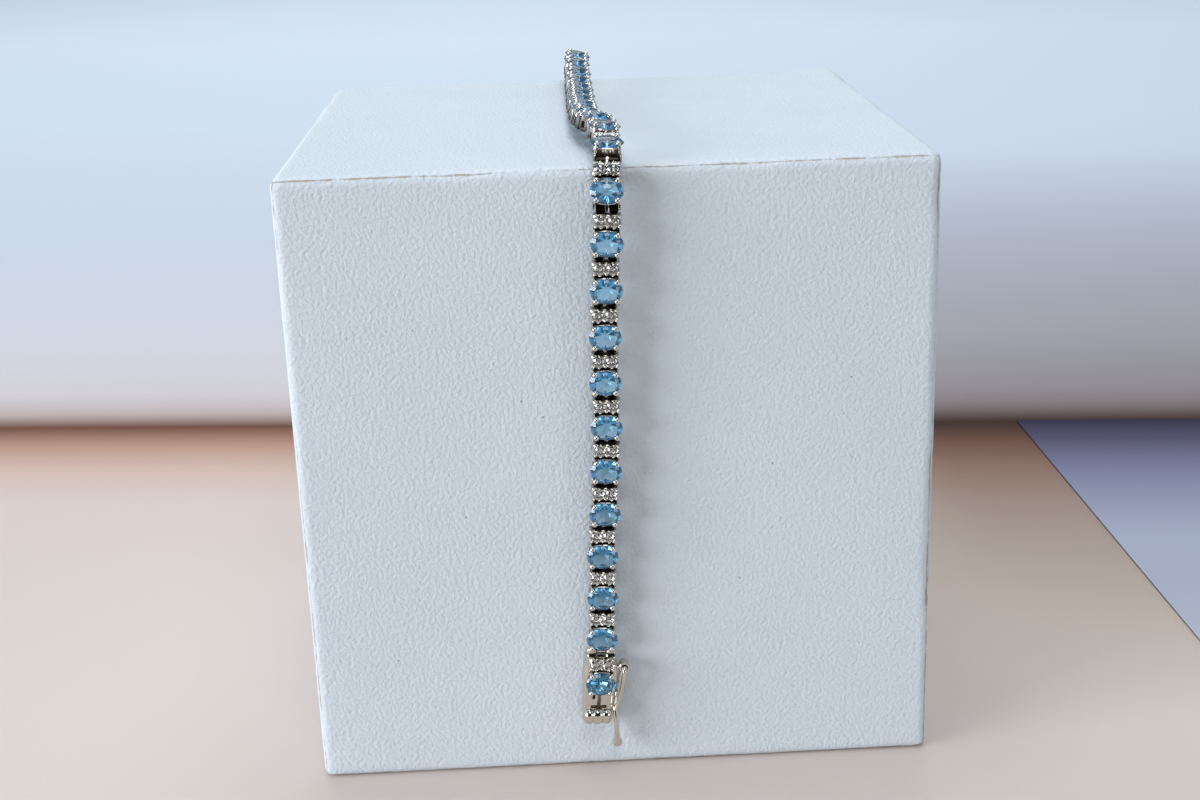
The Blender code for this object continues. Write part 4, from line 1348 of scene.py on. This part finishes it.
@dataclass
class ClaspBox:
    """The box end: a bulging box with the last oval and bar, a slotted plate, lobes, ears and tube."""

    half_top: float = 1.75 * MM
    half_back: float = 2.0 * MM
    top: float = 1.6 * MM
    plate_start: float = -1.4 * MM
    seat_rows: Pair = (-1.62 * MM, 1.7 * MM)
    flat_share: float = 0.95
    slot_shade: float = 0.62
    lobe_middle: float = -4.8 * MM
    lobe_half: float = 1.2 * MM
    lobe_pitch: float = 1.30 * MM
    lobe_bar_half: float = 2.0 * MM
    lobe_depth: float = 0.17
    lobe_square: float = 0.85
    lobe_ends: int = 5
    lobe_flute: float = 2.4
    bulge: Pair = (0.10 * MM, 0.42 * MM)
    bulge_middle: float = 0.7 * MM
    bulge_reach: float = 1.9 * MM
    bar_end: float = 3.6 * MM
    box_end: float = 4.52 * MM
    ear_top: float = 1.05 * MM
    stem_half: float = 0.24 * MM
    head_half: float = 1.05 * MM
    head_low: float = -3.66 * MM
    head_high: float = -3.22 * MM
    notch_x: Pair = (-0.90 * MM, -0.54 * MM)
    notch_low: float = -2.35 * MM
    slot_floor: float = 0.75 * MM
    pocket_half: float = 0.65 * MM
    pin_along: float = 4.21 * MM
    pin_radius: float = 0.16 * MM
    pin_half: float = 1.0 * MM
    hinge_height: float = 0.6 * MM
    tube_radius: float = 0.7 * MM
    tube_hole: float = 0.42 * MM
    tube_length: float = 1.5 * MM
    arm_foot: Triple = (-1.35 * MM, -0.75 * MM, 0.7 * MM)
    arm_bend: Triple = (-1.15 * MM, 0.05 * MM, 0.72 * MM)
    arm_tip: Triple = (-0.52 * MM, 0.05 * MM, 0.75 * MM)
    arm_section: Triple = (0.95 * MM, 0.55 * MM, 0.15 * MM)
    arm_taper: Pair = (1.15, 0.9)
    tube_foot: tuple[Triple, Triple] = (
        (-1.45 * MM, -2.3 * MM, 0.1 * MM), (-0.98 * MM, 0.3 * MM, 1.35 * MM),
    )
    side_share: tuple[float, ...] = (0.96, 0.84, 0.66, 0.46, 0.26, 0.08, 0.0)
    side_spread: tuple[float, ...] = (0.04, 0.12, 0.30, 0.55, 0.80, 1.0, 0.92)
    basket: TopazBasket = field(default_factory=TopazBasket)
    bar: DiamondBar = field(default_factory=DiamondBar)

    def box(self) -> Surface:
        """Return the box with its T-shaped slot and the notch beside it.

        Returns:
            Profiles in x and z carried along y: the top is the lower of the plate and the stone's
            seat, and falls to the slot's floor inside the stem, the head and the notch. Doubled
            lines at their edges keep their walls upright. The flanks swell beside the stone by
            bulge sin(pi z / top) exp(-((y - middle) / reach) squared).
        """
        hair = 0.002 * MM
        cuts_x = [self.stem_half, self.head_half, -self.stem_half, -self.head_half, *self.notch_x]
        cuts_y = [self.head_low, self.head_high, self.notch_low]
        y = np.sort(np.concatenate([
            np.linspace(self.lobe_middle, self.seat_rows[0], 9), np.linspace(-1.5, 1.5, 13) * MM,
            np.linspace(self.seat_rows[1], self.bar_end, 6), *[(cut - hair, cut + hair) for cut in cuts_y],
        ]))
        x = np.sort(np.concatenate([
            np.linspace(-self.flat_share, self.flat_share, 9) * self.half_top,
            *[(cut - hair, cut + hair) for cut in cuts_x],
        ]))
        grid_x, grid_y = np.meshgrid(x, y)
        top = np.minimum(self.top, self.basket.seat_height(grid_x, grid_y))
        plate = grid_y < self.plate_start
        stem = (np.abs(grid_x) < self.stem_half) & plate & (grid_y > self.head_low)
        head = (np.abs(grid_x) < self.head_half) & (grid_y > self.head_low) & (grid_y < self.head_high)
        notch = (grid_x > self.notch_x[0]) & (grid_x < self.notch_x[1]) & (grid_y > self.notch_low)
        slot = stem | head | (notch & plate)
        top = np.where(slot, self.slot_floor, np.maximum(top, self.slot_floor))
        height = np.array(self.side_share)
        width = self.half_top + (self.half_back - self.half_top) * np.array(self.side_spread)
        swell = np.exp(-((y[:, None] - self.bulge_middle) / self.bulge_reach) ** 2)
        swell = swell * np.sin(math.pi * height)[None]
        right, left = width + self.bulge[0] * swell, -(width + self.bulge[1] * swell)
        side_z = np.broadcast_to(self.top * height, right.shape)
        rings = np.stack([
            np.concatenate([grid_x, right, left[:, ::-1]], axis=1),
            np.broadcast_to(y[:, None], (len(y), len(x) + 2 * len(height))),
            np.concatenate([top, side_z, side_z[:, ::-1]], axis=1),
        ], axis=-1)
        # Painted shade: the floors of the slot and the notch, and half of the full at the box's two end
        # poles.
        deep = np.where(slot, self.slot_shade, 0.0)
        deep = np.concatenate([deep, np.zeros((len(y), 2 * len(height)))], axis=1)
        return loft(rings).recessed(np.concatenate([deep.reshape(-1), [0.5, 0.5]]))

    def lobes(self) -> Surface:
        """Return the fluted end bar.

        Returns:
            A superellipse in y and z carried across x. Its size is the rounded end
            (1 - |x / half|^ends)^(1/2) times each lobe's swell 1 - depth |2 (x - middle) / pitch|^flute.
        """
        share = np.sin(np.linspace(-0.5, 0.5, 72) * math.pi)[1:-1]
        x = self.lobe_bar_half * share
        middle = np.clip(np.round(x / self.lobe_pitch), -1, 1) * self.lobe_pitch
        away = np.clip(np.abs(2 * (x - middle) / self.lobe_pitch), 0, 1)
        swell = 1 - self.lobe_depth * away ** self.lobe_flute
        size = np.sqrt(1 - np.abs(share) ** self.lobe_ends) * swell
        section = superellipse(28, self.lobe_square) * self.lobe_half
        rings = np.empty((len(x), len(section), 3))
        rings[..., 0] = x[:, None]
        rings[..., 1:] = (self.lobe_middle, self.lobe_half) + size[:, None, None] * section[None]
        poles = [np.array([side * self.lobe_bar_half, self.lobe_middle, self.lobe_half]) for side in BOTH]
        return loft(rings, poles)

    def joint(self) -> list[Surface]:
        """Return the joint to the first link.

        Returns:
            The two ears beside the link's eye, and the pin through it.
        """
        outer = self.half_back - 0.15 * MM
        ears = [slab(
            (side * self.pocket_half, self.bar_end - 0.3 * MM, 0.0),
            (side * outer, self.box_end, self.ear_top), bevel=0.15 * MM, corner=0.3 * MM,
        ) for side in BOTH]
        pin = barrel(np.array([0.0, self.pin_along, self.hinge_height]), self.pin_half, self.pin_radius, 12)
        # Painted shade: half of the full on the pin.
        return [*ears, pin.recessed(0.5)]

    def surface(self) -> Surface:
        """Return everything in the box's own frame but the tube."""
        bar = self.bar.surface().shaded_from(self.bar.shade_top, self.bar.shade_depth)
        parts = [self.box(), self.basket.surface(open_sides=False), bar, self.lobes(), *self.joint()]
        return Surface.joined(parts)

    def tube(self) -> Surface:
        """Return the lever's tube in the lever's frame.

        Returns:
            An eased ring along z, the bent arm that carries it, and the arm's foot on the box.
        """
        half = self.tube_length / 2
        upright = place_of(np.eye(3)[::-1], (0.0, 0.0, half))
        ring = barrel(np.zeros(3), half, self.tube_radius, 36, self.tube_hole).at(upright)
        curve = (np.array(point) for point in (self.arm_foot, self.arm_bend, self.arm_tip))
        path = bent(*curve, np.linspace(0.0, 1.0, 10)[:, None])
        taper = np.linspace(*self.arm_taper, 10)
        arm = loft(carried(path, rounded_rectangle(*self.arm_section), Z_AXIS, taper))
        foot = slab(*self.tube_foot, bevel=0.1 * MM, corner=0.2 * MM)
        # Painted shade: a little on the tube, its arm and its foot.
        return Surface.joined([ring, arm, foot]).recessed(0.1)

    def build(self, place: Array, lever_at: Array, metal: Material, diamond: Material) -> Thing:
        """Build the box at its oval's place, with its tube at the lever's, as one body."""
        whole = Surface.joined([self.surface().at(place), self.tube().at(lever_at)])
        return make_piece("clasp_box_shell", whole, [metal, diamond], "clasp_box")


@dataclass
class SafetyLever:
    """The figure-eight catch: two bent wires nipped at the waist by a collar, and a ball at the tip."""

    tube_length: float = 1.5 * MM
    wire: float = 0.28 * MM
    clearance: float = 0.12 * MM
    gap: float = 0.06 * MM
    waist: Pair = (-0.7 * MM, -6.2 * MM)
    tip: Pair = (-0.08 * MM, -10.9 * MM)
    bulge: float = 0.20 * MM
    flare: float = 0.7
    loop_half: float = 0.4 * MM
    ball_radius: float = 0.66 * MM
    collar: Triple = (0.40 * MM, 0.62 * MM, 0.60 * MM)
    sides: int = 12
    steps: int = 22

    def upper_strand(self, side: int) -> Array:
        """Return one strand from inside the tube, round its end and down to the waist.

        Args:
            side: 1 for the strand at the tube's front end and -1 for the back one.

        Returns:
            Points: a quarter turn out of the tube, then a swell of bulge sin(pi t) sideways while
            the distance to the middle closes as (1 + cos(pi t)) / 2.
        """
        half = self.tube_length / 2
        bend = self.clearance + self.wire
        inside = np.array([[0.0, 0.0, half - bend], [0.0, 0.0, half - bend / 2]])
        turn = np.linspace(0.0, math.pi / 2, 7)[:, None]
        corner = np.hstack([
            np.zeros_like(turn), -1.1 * bend * (1 - np.cos(turn)), half + bend * np.sin(turn),
        ])
        t = np.linspace(0.0, 1.0, self.steps)[1:, None]
        reach, beside = half + bend, self.wire + self.gap / 2
        x = self.waist[0] * t + side * self.bulge * np.sin(math.pi * t)
        y = -1.1 * bend + (self.waist[1] + 1.1 * bend) * t
        z = reach + (beside - reach) * (1 - np.cos(math.pi * t)) / 2
        path = np.vstack([inside, corner, np.hstack([x, y, z])])
        path[:, 2] *= side
        path[:, 2] += half
        return path

    def lower_strand(self, side: int) -> Array:
        """Return one strand from the waist to the tip.

        Args:
            side: 1 for the front strand and -1 for the back one.

        Returns:
            Points on a straight line, swelling to the side by loop_half sin(pi t).
        """
        t = np.linspace(0.0, 1.0, self.steps)[:, None]
        start, end = np.array([self.waist]), np.array([self.tip])
        beside = self.wire + self.gap / 2
        z = self.tube_length / 2 + side * (beside + self.loop_half * np.sin(math.pi * t))
        return np.hstack([start + (end - start) * t, z])

    def surface(self) -> Surface:
        """Return the lever in its own frame: z along the tube, y up, x away from the box.

        Returns:
            The strands, which thicken towards the tip as 1 + flare t^4, the collar and the ball.
        """
        round_wire = circle(self.sides, self.wire)
        upper = np.vstack([self.upper_strand(-1)[::-1], self.upper_strand(1)])
        parts = [loft(carried(upper, round_wire, X_AXIS))]
        flare = 1 + self.flare * np.linspace(0.0, 1.0, self.steps) ** 4
        parts += [loft(carried(self.lower_strand(side), round_wire, X_AXIS, flare)) for side in BOTH]
        middle = self.tube_length / 2
        parts.append(ellipsoid((*self.waist, middle), self.collar, around=20, along=12))
        parts.append(ellipsoid((*self.tip, middle), (self.ball_radius,) * 3, around=24, along=16))
        whole = Surface.joined(parts)
        # Painted shade: a little over the whole lever.
        whole.recess += 0.15
        return whole

    def build(self, place: Array, metal: Material) -> Thing:
        """Build the lever at its place, whose z is the hinge's axis."""
        return make_piece(
            "safety_lever_wire", self.surface().at(place), [metal], "safety_lever", body="lever"
        )


def lever_place(joint: dict, box: Array) -> Array:
    """Return the lever's place.

    Args:
        joint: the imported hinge, with its position and axis.
        box: the clasp box's place; the lever's y is the box's.

    Returns:
        The matrix whose z is the hinge's axis and whose x is y crossed with z.
    """
    axis = unit(np.array(joint["axis"], float))
    along = unit(box[:3, 1] - axis * (box[:3, 1] @ axis))
    return place_of((np.cross(along, axis), along, axis), joint["pos_m"])


@dataclass
class ClaspTongue:
    """The folded tongue at the hidden end: block, pin, sprung leaf, thumb and stud."""

    half_width: float = 1.65 * MM
    block_low: float = -0.31 * MM
    block_high: float = 2.21 * MM
    block_top: float = 1.6 * MM
    pocket_high: float = 0.61 * MM
    pocket_half: float = 0.65 * MM
    leaf_half: float = 1.05 * MM
    leaf: float = 0.2 * MM
    leaf_low: float = 0.425 * MM
    leaf_high: float = 1.125 * MM
    leaf_length: float = 4.4 * MM
    thumb_half: float = 0.15 * MM
    stud_reach: float = 0.9 * MM
    stud_radius: float = 0.3 * MM
    pin_radius: float = 0.16 * MM
    pin_half: float = 1.0 * MM
    hinge_height: float = 0.6 * MM
    shade_top: float = 1.7 * MM
    shade_depth: float = 2.2 * MM
    eye_along: float = 4.1 * MM
    fold_radius: float = 0.14 * MM

    def leaf_path(self) -> Array:
        """Return the folded strip's middle line.

        Returns:
            Pairs of y and z: straight out along the back, a half circle round the tip, and back
            to the thumb with a rise of 3 t^2 - 2 t^3.
        """
        start, tip = self.block_high - 0.3 * MM, self.block_high + self.leaf_length
        low = self.leaf_low + self.leaf / 2
        high = self.leaf_high - self.leaf / 2
        t = np.linspace(0.0, 1.0, 14)[:, None]
        out = np.hstack([start + (tip - start) * t, np.full_like(t, low)])
        turn = np.linspace(-math.pi / 2, math.pi / 2, 9)[1:-1, None]
        fold = self.fold_radius
        bend = np.hstack([tip + fold * np.cos(turn), low + fold * (1 + np.sin(turn))])
        rise = 3 * t ** 2 - 2 * t ** 3
        back_low = low + 2 * fold
        stop = self.block_high + 0.25 * MM
        back = np.hstack([tip + (stop - tip) * t, back_low + (high - back_low) * rise])
        return np.vstack([out, bend, back])

    def surface(self) -> Surface:
        """Return the tongue in the frame of its pin.

        Returns:
            With y along the band from the pin's middle: the folded leaf, the block, the two ears
            beside the last link's eye, the pin, the thumb piece and the stud.
        """
        path = self.leaf_path()
        path = np.column_stack([np.zeros(len(path)), path])
        strip = rounded_rectangle(2 * self.leaf_half, self.leaf, 0.06 * MM)
        parts = [loft(carried(path, strip, X_AXIS))]
        parts.append(slab(
            (-self.half_width, self.pocket_high, 0.0), (self.half_width, self.block_high, self.block_top),
            bevel=0.12 * MM, corner=0.25 * MM,
        ))
        parts += [slab(
            (side * self.pocket_half, self.block_low, 0.0),
            (side * self.half_width, self.pocket_high + 0.3 * MM, self.block_top),
            bevel=0.12 * MM, corner=0.2 * MM,
        ) for side in BOTH]
        parts.append(barrel(np.array([0.0, 0.0, self.hinge_height]), self.pin_half, self.pin_radius, 12))
        parts.append(slab(
            (-self.thumb_half, self.block_high + 0.28 * MM, self.leaf_high - 0.15 * MM),
            (self.thumb_half, self.block_high + 0.7 * MM, self.block_top + 0.18 * MM),
            bevel=0.05 * MM, corner=0.08 * MM,
        ))
        stud_x = (self.half_width - 0.3 * MM, self.half_width + self.stud_reach)
        neck = np.array([(x, self.block_high - 0.8 * MM, self.block_top / 2) for x in stud_x])
        parts.append(loft(carried(neck, circle(14, 0.6 * self.stud_radius), Z_AXIS)))
        parts.append(ellipsoid(neck[1], (self.stud_radius,) * 3, around=18, along=12))
        return Surface.joined(parts).shaded_from(self.shade_top, self.shade_depth)

    def build(self, last_link: Array, metal: Material) -> Thing:
        """Build the tongue beyond the last link, whose place is given."""
        surface = self.surface().at(last_link @ shifted((0.0, self.eye_along, 0.0)))
        return make_piece("clasp_tongue_leaf", surface, [metal], "clasp_tongue")


@dataclass
class DisplayBlock:
    """The plaster block: a box with eased, slightly worn edges and flat faces."""

    half: Triple = (40.0 * MM, 38.0 * MM, 40.0 * MM)
    edge_radius: float = 1.2 * MM
    chip_depth: float = 0.26 * MM
    chip_reach: float = 1.6 * MM
    notch_wave: float = 9 * MM
    notch_start: float = 0.72
    grit_wave: float = 1.7 * MM
    wear_wave: float = 26 * MM
    foot_clear: float = 4 * MM
    lanes: int = 96
    seed: int = 5
    waves: int = 40

    def lane(self, half: float) -> Array:
        """Return places across a face from -half to half, close together near its two edges."""
        t = np.linspace(-1.0, 1.0, self.lanes)
        return half * (0.35 * t + 0.65 * np.sign(t) * (1 - (1 - np.abs(t)) ** 2.6))

    def rough(self, points: Array, size: float, seed: int) -> Array:
        """Return a smooth random field from 0 to 1.

        Args:
            points: where it is read.
            size: the length of its shortest wave.
            seed: the number that picks its waves.

        Returns:
            A sum of sine waves of random directions and starts, squashed to lie from 0 to 1.
        """
        dice = np.random.default_rng(seed)
        directions = unit(dice.normal(size=(self.waves, 3))) * dice.uniform(0.3, 1.0, (self.waves, 1))
        starts = dice.uniform(0, 2 * math.pi, self.waves)
        field_value = np.sin(points @ directions.T * (2 * math.pi / size) + starts).sum(axis=1)
        return 0.5 + 0.5 * np.tanh(field_value / math.sqrt(self.waves / 2))

    def surface(self) -> Surface:
        """Return the block.

        Returns:
            Six grids on a box, each point p moved to core + radius (p - core) / |p - core|, where
            core is p held inside the box by the edge radius, and then drawn in along that
            direction by the chips near the edges. The bottom edge has none, so that it stands
            level. The recess carries the worn paint, full along the edges and none inside them.
        """
        half = np.array(self.half)
        sheets, grids = [], []
        for axis, side in product(range(3), BOTH):
            first, second = [other for other in range(3) if other != axis]
            u, v = np.meshgrid(self.lane(half[first]), self.lane(half[second]), indexing="ij")
            sheet = np.empty((*u.shape, 3))
            sheet[..., first], sheet[..., second], sheet[..., axis] = u, v, side * half[axis]
            sheets.append(sheet.reshape(-1, 3))
            number = len(grids) * u.size + np.arange(u.size).reshape(u.shape)
            grids.append(np.stack([
                number[:-1, :-1], number[1:, :-1], number[1:, 1:], number[:-1, 1:],
            ], axis=-1).reshape(-1, 4))
        points, faces = np.vstack(sheets), np.vstack(grids)
        core = np.clip(points, -(half - self.edge_radius), half - self.edge_radius)
        outward = unit(points - core)
        to_edge = np.sort(half - np.abs(points), axis=1)[:, 1]
        near = np.clip(1 - to_edge / self.chip_reach, 0.0, 1.0)
        notch = self.rough(points, self.notch_wave, self.seed) - self.notch_start
        notch = np.clip(notch / (1 - self.notch_start), 0.0, 1.0)
        fine = self.rough(points, self.grit_wave, self.seed + 1)
        low_edge = np.clip((points[:, 2] + half[2]) / self.foot_clear, 0.0, 1.0)
        bite = self.chip_depth * near * notch * (0.4 + 0.6 * fine) * low_edge
        points = core + outward * (self.edge_radius - bite)[:, None]
        points[:, 2] += half[2]
        block = Surface.made(points, faces)
        wear = self.rough(points, self.wear_wave, self.seed + 2)
        block.recess = np.clip(near ** 1.5 * (0.70 + 0.30 * wear) + 0.3 * near * notch, 0.0, 1.0)
        return block

    def build(self, plaster: Material) -> Thing:
        """Build the block.

        Args:
            plaster: its finish.

        Returns:
            The block, its six grids welded along their shared edges.
        """
        surface = self.surface()
        keys = (surface.points / (0.001 * MM)).round().astype(np.int64)
        _, kept, place = np.unique(keys, axis=0, return_index=True, return_inverse=True)
        surface.points = surface.points[kept]
        surface.recess = surface.recess[kept]
        surface.faces = place.reshape(-1)[surface.faces]
        return make_piece(
            "display_block_plaster", surface, [plaster], "display_block",
            attribute="chip", crease=60.0,
        )


@dataclass(frozen=True)
class SoftBox:
    """A square soft light.

    Args:
        name: its name.
        place: where it stands.
        size: the length of its side.
        power: its power in watts.
        colour: its colour.
        target: what it looks at.
    """

    name: str
    place: Triple
    size: float
    power: float
    colour: str
    target: Triple = (0.0, -0.04, 0.04)


@dataclass
class Studio:
    """Camera, papers, sky and lights, none of which belong to the object."""

    lens: float = 51.32
    sensor: float = 36.0
    eye: Triple = (-0.007799, -0.238229, 0.117593)
    forward: Triple = (0.02811, 0.94849, -0.31555)
    right: Triple = (0.99859, -0.04083, -0.03378)
    reach: float = 1.5
    lilac_edge: float = 87.0 * MM
    lilac_rise: float = 0.3 * MM
    sky: str = "#CFDFEE"
    strength: float = 0.52
    dark_spot: Triple = (-0.03, -0.94, 0.34)
    dark_inner: float = math.radians(28)
    dark_outer: float = math.radians(46)
    dark_left: float = 0.04
    lamps: tuple[SoftBox, ...] = (
        SoftBox("window", (-0.75, -0.38, 0.12), 0.55, 9.5, "#F4F8FF"),
        SoftBox("fill", (0.65, -0.55, 0.06), 0.35, 1.0, "#FFFFFF"),
        SoftBox("skylight", (0.05, -0.55, 0.70), 0.30, 1.1, "#FBFDFF"),
        SoftBox("overhead", (0.05, 0.0, 0.9), 0.5, 2.4, "#FFFFFF"),
        SoftBox("backdrop", (-0.1, 1.0, 1.0), 1.0, 6.0, "#F6FAFF", (-0.1, 0.7, 0.0)),
    )
    # Painted shade in the peach paper: a dark shadow line along the fold, darker paper far in front, a
    # gradient that lightens the blue beyond the fold, and the block's soft shadow at its right.
    peach: Paper = Paper("peach_paper", (
        Tone(-0.33, "#857A70"), Tone(-0.17, "#D3C7BE"), Tone(-0.045, "#D6C6BD"),
        Tone(-0.026, "#D2B6A8"), Tone(-0.012, "#B98F7B"), Tone(0.0, "#6A3D29"),
        Tone(0.009, "#C0AEAA"), Tone(0.022, "#D2C9CA"), Tone(0.06, "#D2D1D6"),
        Tone(0.19, "#D1D8E3"), Tone(0.40, "#DEE8F2"), Tone(0.7, "#EAF3FB"),
    ), shade=(
        Tone(-0.125, "#FFFFFF"), Tone(-0.090, "#EEEBE4"), Tone(-0.060, "#D4CCC4"),
        Tone(-0.030, "#B7A89E"), Tone(-0.012, "#9C8B82"), Tone(-0.002, "#8A7870"),
        Tone(0.004, "#9E9A9C"), Tone(0.014, "#B4B0B2"), Tone(0.067, "#C9C6C8"),
        Tone(0.150, "#DAD6D8"), Tone(0.300, "#FFFDFD"),
    ))
    # Painted shadow in the lilac paper: it darkens to near black towards the fold.
    lilac: Paper = Paper("lilac_paper", (
        Tone(-0.30, "#D6D4CC"), Tone(-0.06, "#AEB3C6"), Tone(-0.03, "#83849F"),
        Tone(-0.012, "#554F6A"), Tone(0.0, "#231D38"),
    ))

    def camera(self) -> None:
        """Set up the camera at the photo's place, with depth of field off."""
        data = bpy.data.cameras.new("camera")
        data.lens = self.lens
        data.sensor_width = self.sensor
        data.clip_start = 0.01
        data.clip_end = 20.0
        forward, right = unit(np.array(self.forward)), np.array(self.right)
        right = unit(right - forward * (right @ forward))
        camera = link_object("camera", data)
        camera.matrix_world = Matrix(place_of((right, np.cross(right, forward), -forward), self.eye).tolist())
        bpy.context.scene.camera = camera

    def sheet(self, name: str, corners: list[Triple], paper: Paper) -> None:
        """Lay one flat sheet of paper.

        Args:
            name: the sheet's name.
            corners: its four corners, counter-clockwise.
            paper: its finish.
        """
        mesh = bpy.data.meshes.new(name)
        mesh.from_pydata(corners, [], [(0, 1, 2, 3)])
        mesh.materials.append(paper.build())
        link_object(name, mesh)

    def papers(self) -> None:
        """Lay the large pale sheet, peach under the block and blue beyond, and the lilac one at the right."""
        far = self.reach
        corners = [(-far, -far, 0), (far, -far, 0), (far, 3 * far, 0), (-far, 3 * far, 0)]
        self.sheet("pale_sheet", corners, self.peach)
        low, high, rise = self.lilac_edge, 6 * self.lilac_edge, self.lilac_rise
        slope = self.peach.across[0] / self.peach.across[1]
        fold = self.peach.fold / self.peach.across[1]
        ends = [(high, fold - slope * high, rise), (low, fold - slope * low, rise)]
        self.sheet("lilac_sheet", [(low, -far, rise), (high, -far, rise), *ends], self.lilac)

    def light(self, lamp: SoftBox) -> None:
        """Add one soft box.

        Args:
            lamp: its place, size, power and colour.
        """
        data = bpy.data.lights.new(lamp.name, "AREA")
        data.size = lamp.size
        data.energy = lamp.power
        data.color = to_linear(lamp.colour)[:3]
        back = unit(np.array(lamp.place) - np.array(lamp.target))
        side = unit(np.cross(Z_AXIS, back))
        stand = link_object(lamp.name, data)
        stand.matrix_world = Matrix(place_of((side, np.cross(back, side), back), lamp.place).tolist())

    def surroundings(self) -> None:
        """Give the world a pale sky, darker straight in front, where the photographer stands."""
        world = bpy.data.worlds.new("studio")
        bpy.context.scene.world = world
        world.use_nodes = True
        tree = world.node_tree
        tree.nodes.clear()
        direction = add_node(tree, "ShaderNodeTexCoord").outputs["Generated"]
        towards = add_node(tree, "ShaderNodeVectorMath", {
            0: direction, 1: self.dark_spot,
        }, operation="DOT_PRODUCT")
        shade = add_node(tree, "ShaderNodeMapRange", {
            "Value": towards.outputs["Value"], "From Min": math.cos(self.dark_outer),
            "From Max": math.cos(self.dark_inner), "To Min": 1.0, "To Max": self.dark_left,
        }, interpolation_type="SMOOTHSTEP")
        power = add_node(tree, "ShaderNodeMath", {
            0: shade.outputs["Result"], 1: self.strength,
        }, operation="MULTIPLY")
        colour = to_linear(self.sky)
        seen = add_node(tree, "ShaderNodeBackground", {"Color": colour, "Strength": 1.0})
        lit = add_node(tree, "ShaderNodeBackground", {"Color": colour, "Strength": power.outputs[0]})
        path = add_node(tree, "ShaderNodeLightPath")
        both = add_node(tree, "ShaderNodeMixShader", {
            0: path.outputs["Is Camera Ray"], 1: lit.outputs[0], 2: seen.outputs[0],
        })
        add_node(tree, "ShaderNodeOutputWorld", {"Surface": both.outputs[0]})

    def build(self) -> None:
        """Set up everything round the object."""
        self.camera()
        self.papers()
        self.surroundings()
        for lamp in self.lamps:
            self.light(lamp)
        bpy.context.scene.view_settings.view_transform = "Standard"
        LOG.info("studio ready")


def main() -> None:
    """Load the frame, build each piece in order and report it."""
    logging.basicConfig(level=logging.INFO, format="%(name)s: %(message)s")
    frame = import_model()
    Studio().build()
    metal = WhiteGold().build()
    # Painted light and shade: the topaz glows at every facet, and its rim tints darken the crown's ends.
    topaz = CutStone(
        "sky_blue_topaz", "#F0FAFF", 1.62, "#A6DFFC", painted_glow=0.032, rim=("#9AD4FA", "#10384C"),
    ).build()
    diamond = CutStone("diamond", "#F7F7F4", 2.42).build()
    places = Places().read(frame["nodes"])
    lever_at = lever_place(frame["joints"][0], places.matrices[0])
    DisplayBlock().build(PebbledPlaster().build())
    OvalTopaz().build(places, topaz)
    Chain().build(places, metal, diamond)
    ClaspBox().build(places.matrices[0], lever_at, metal, diamond)
    SafetyLever().build(lever_at, metal)
    ClaspTongue().build(places.matrices[-1], metal)


if __name__ == "__main__":
    main()
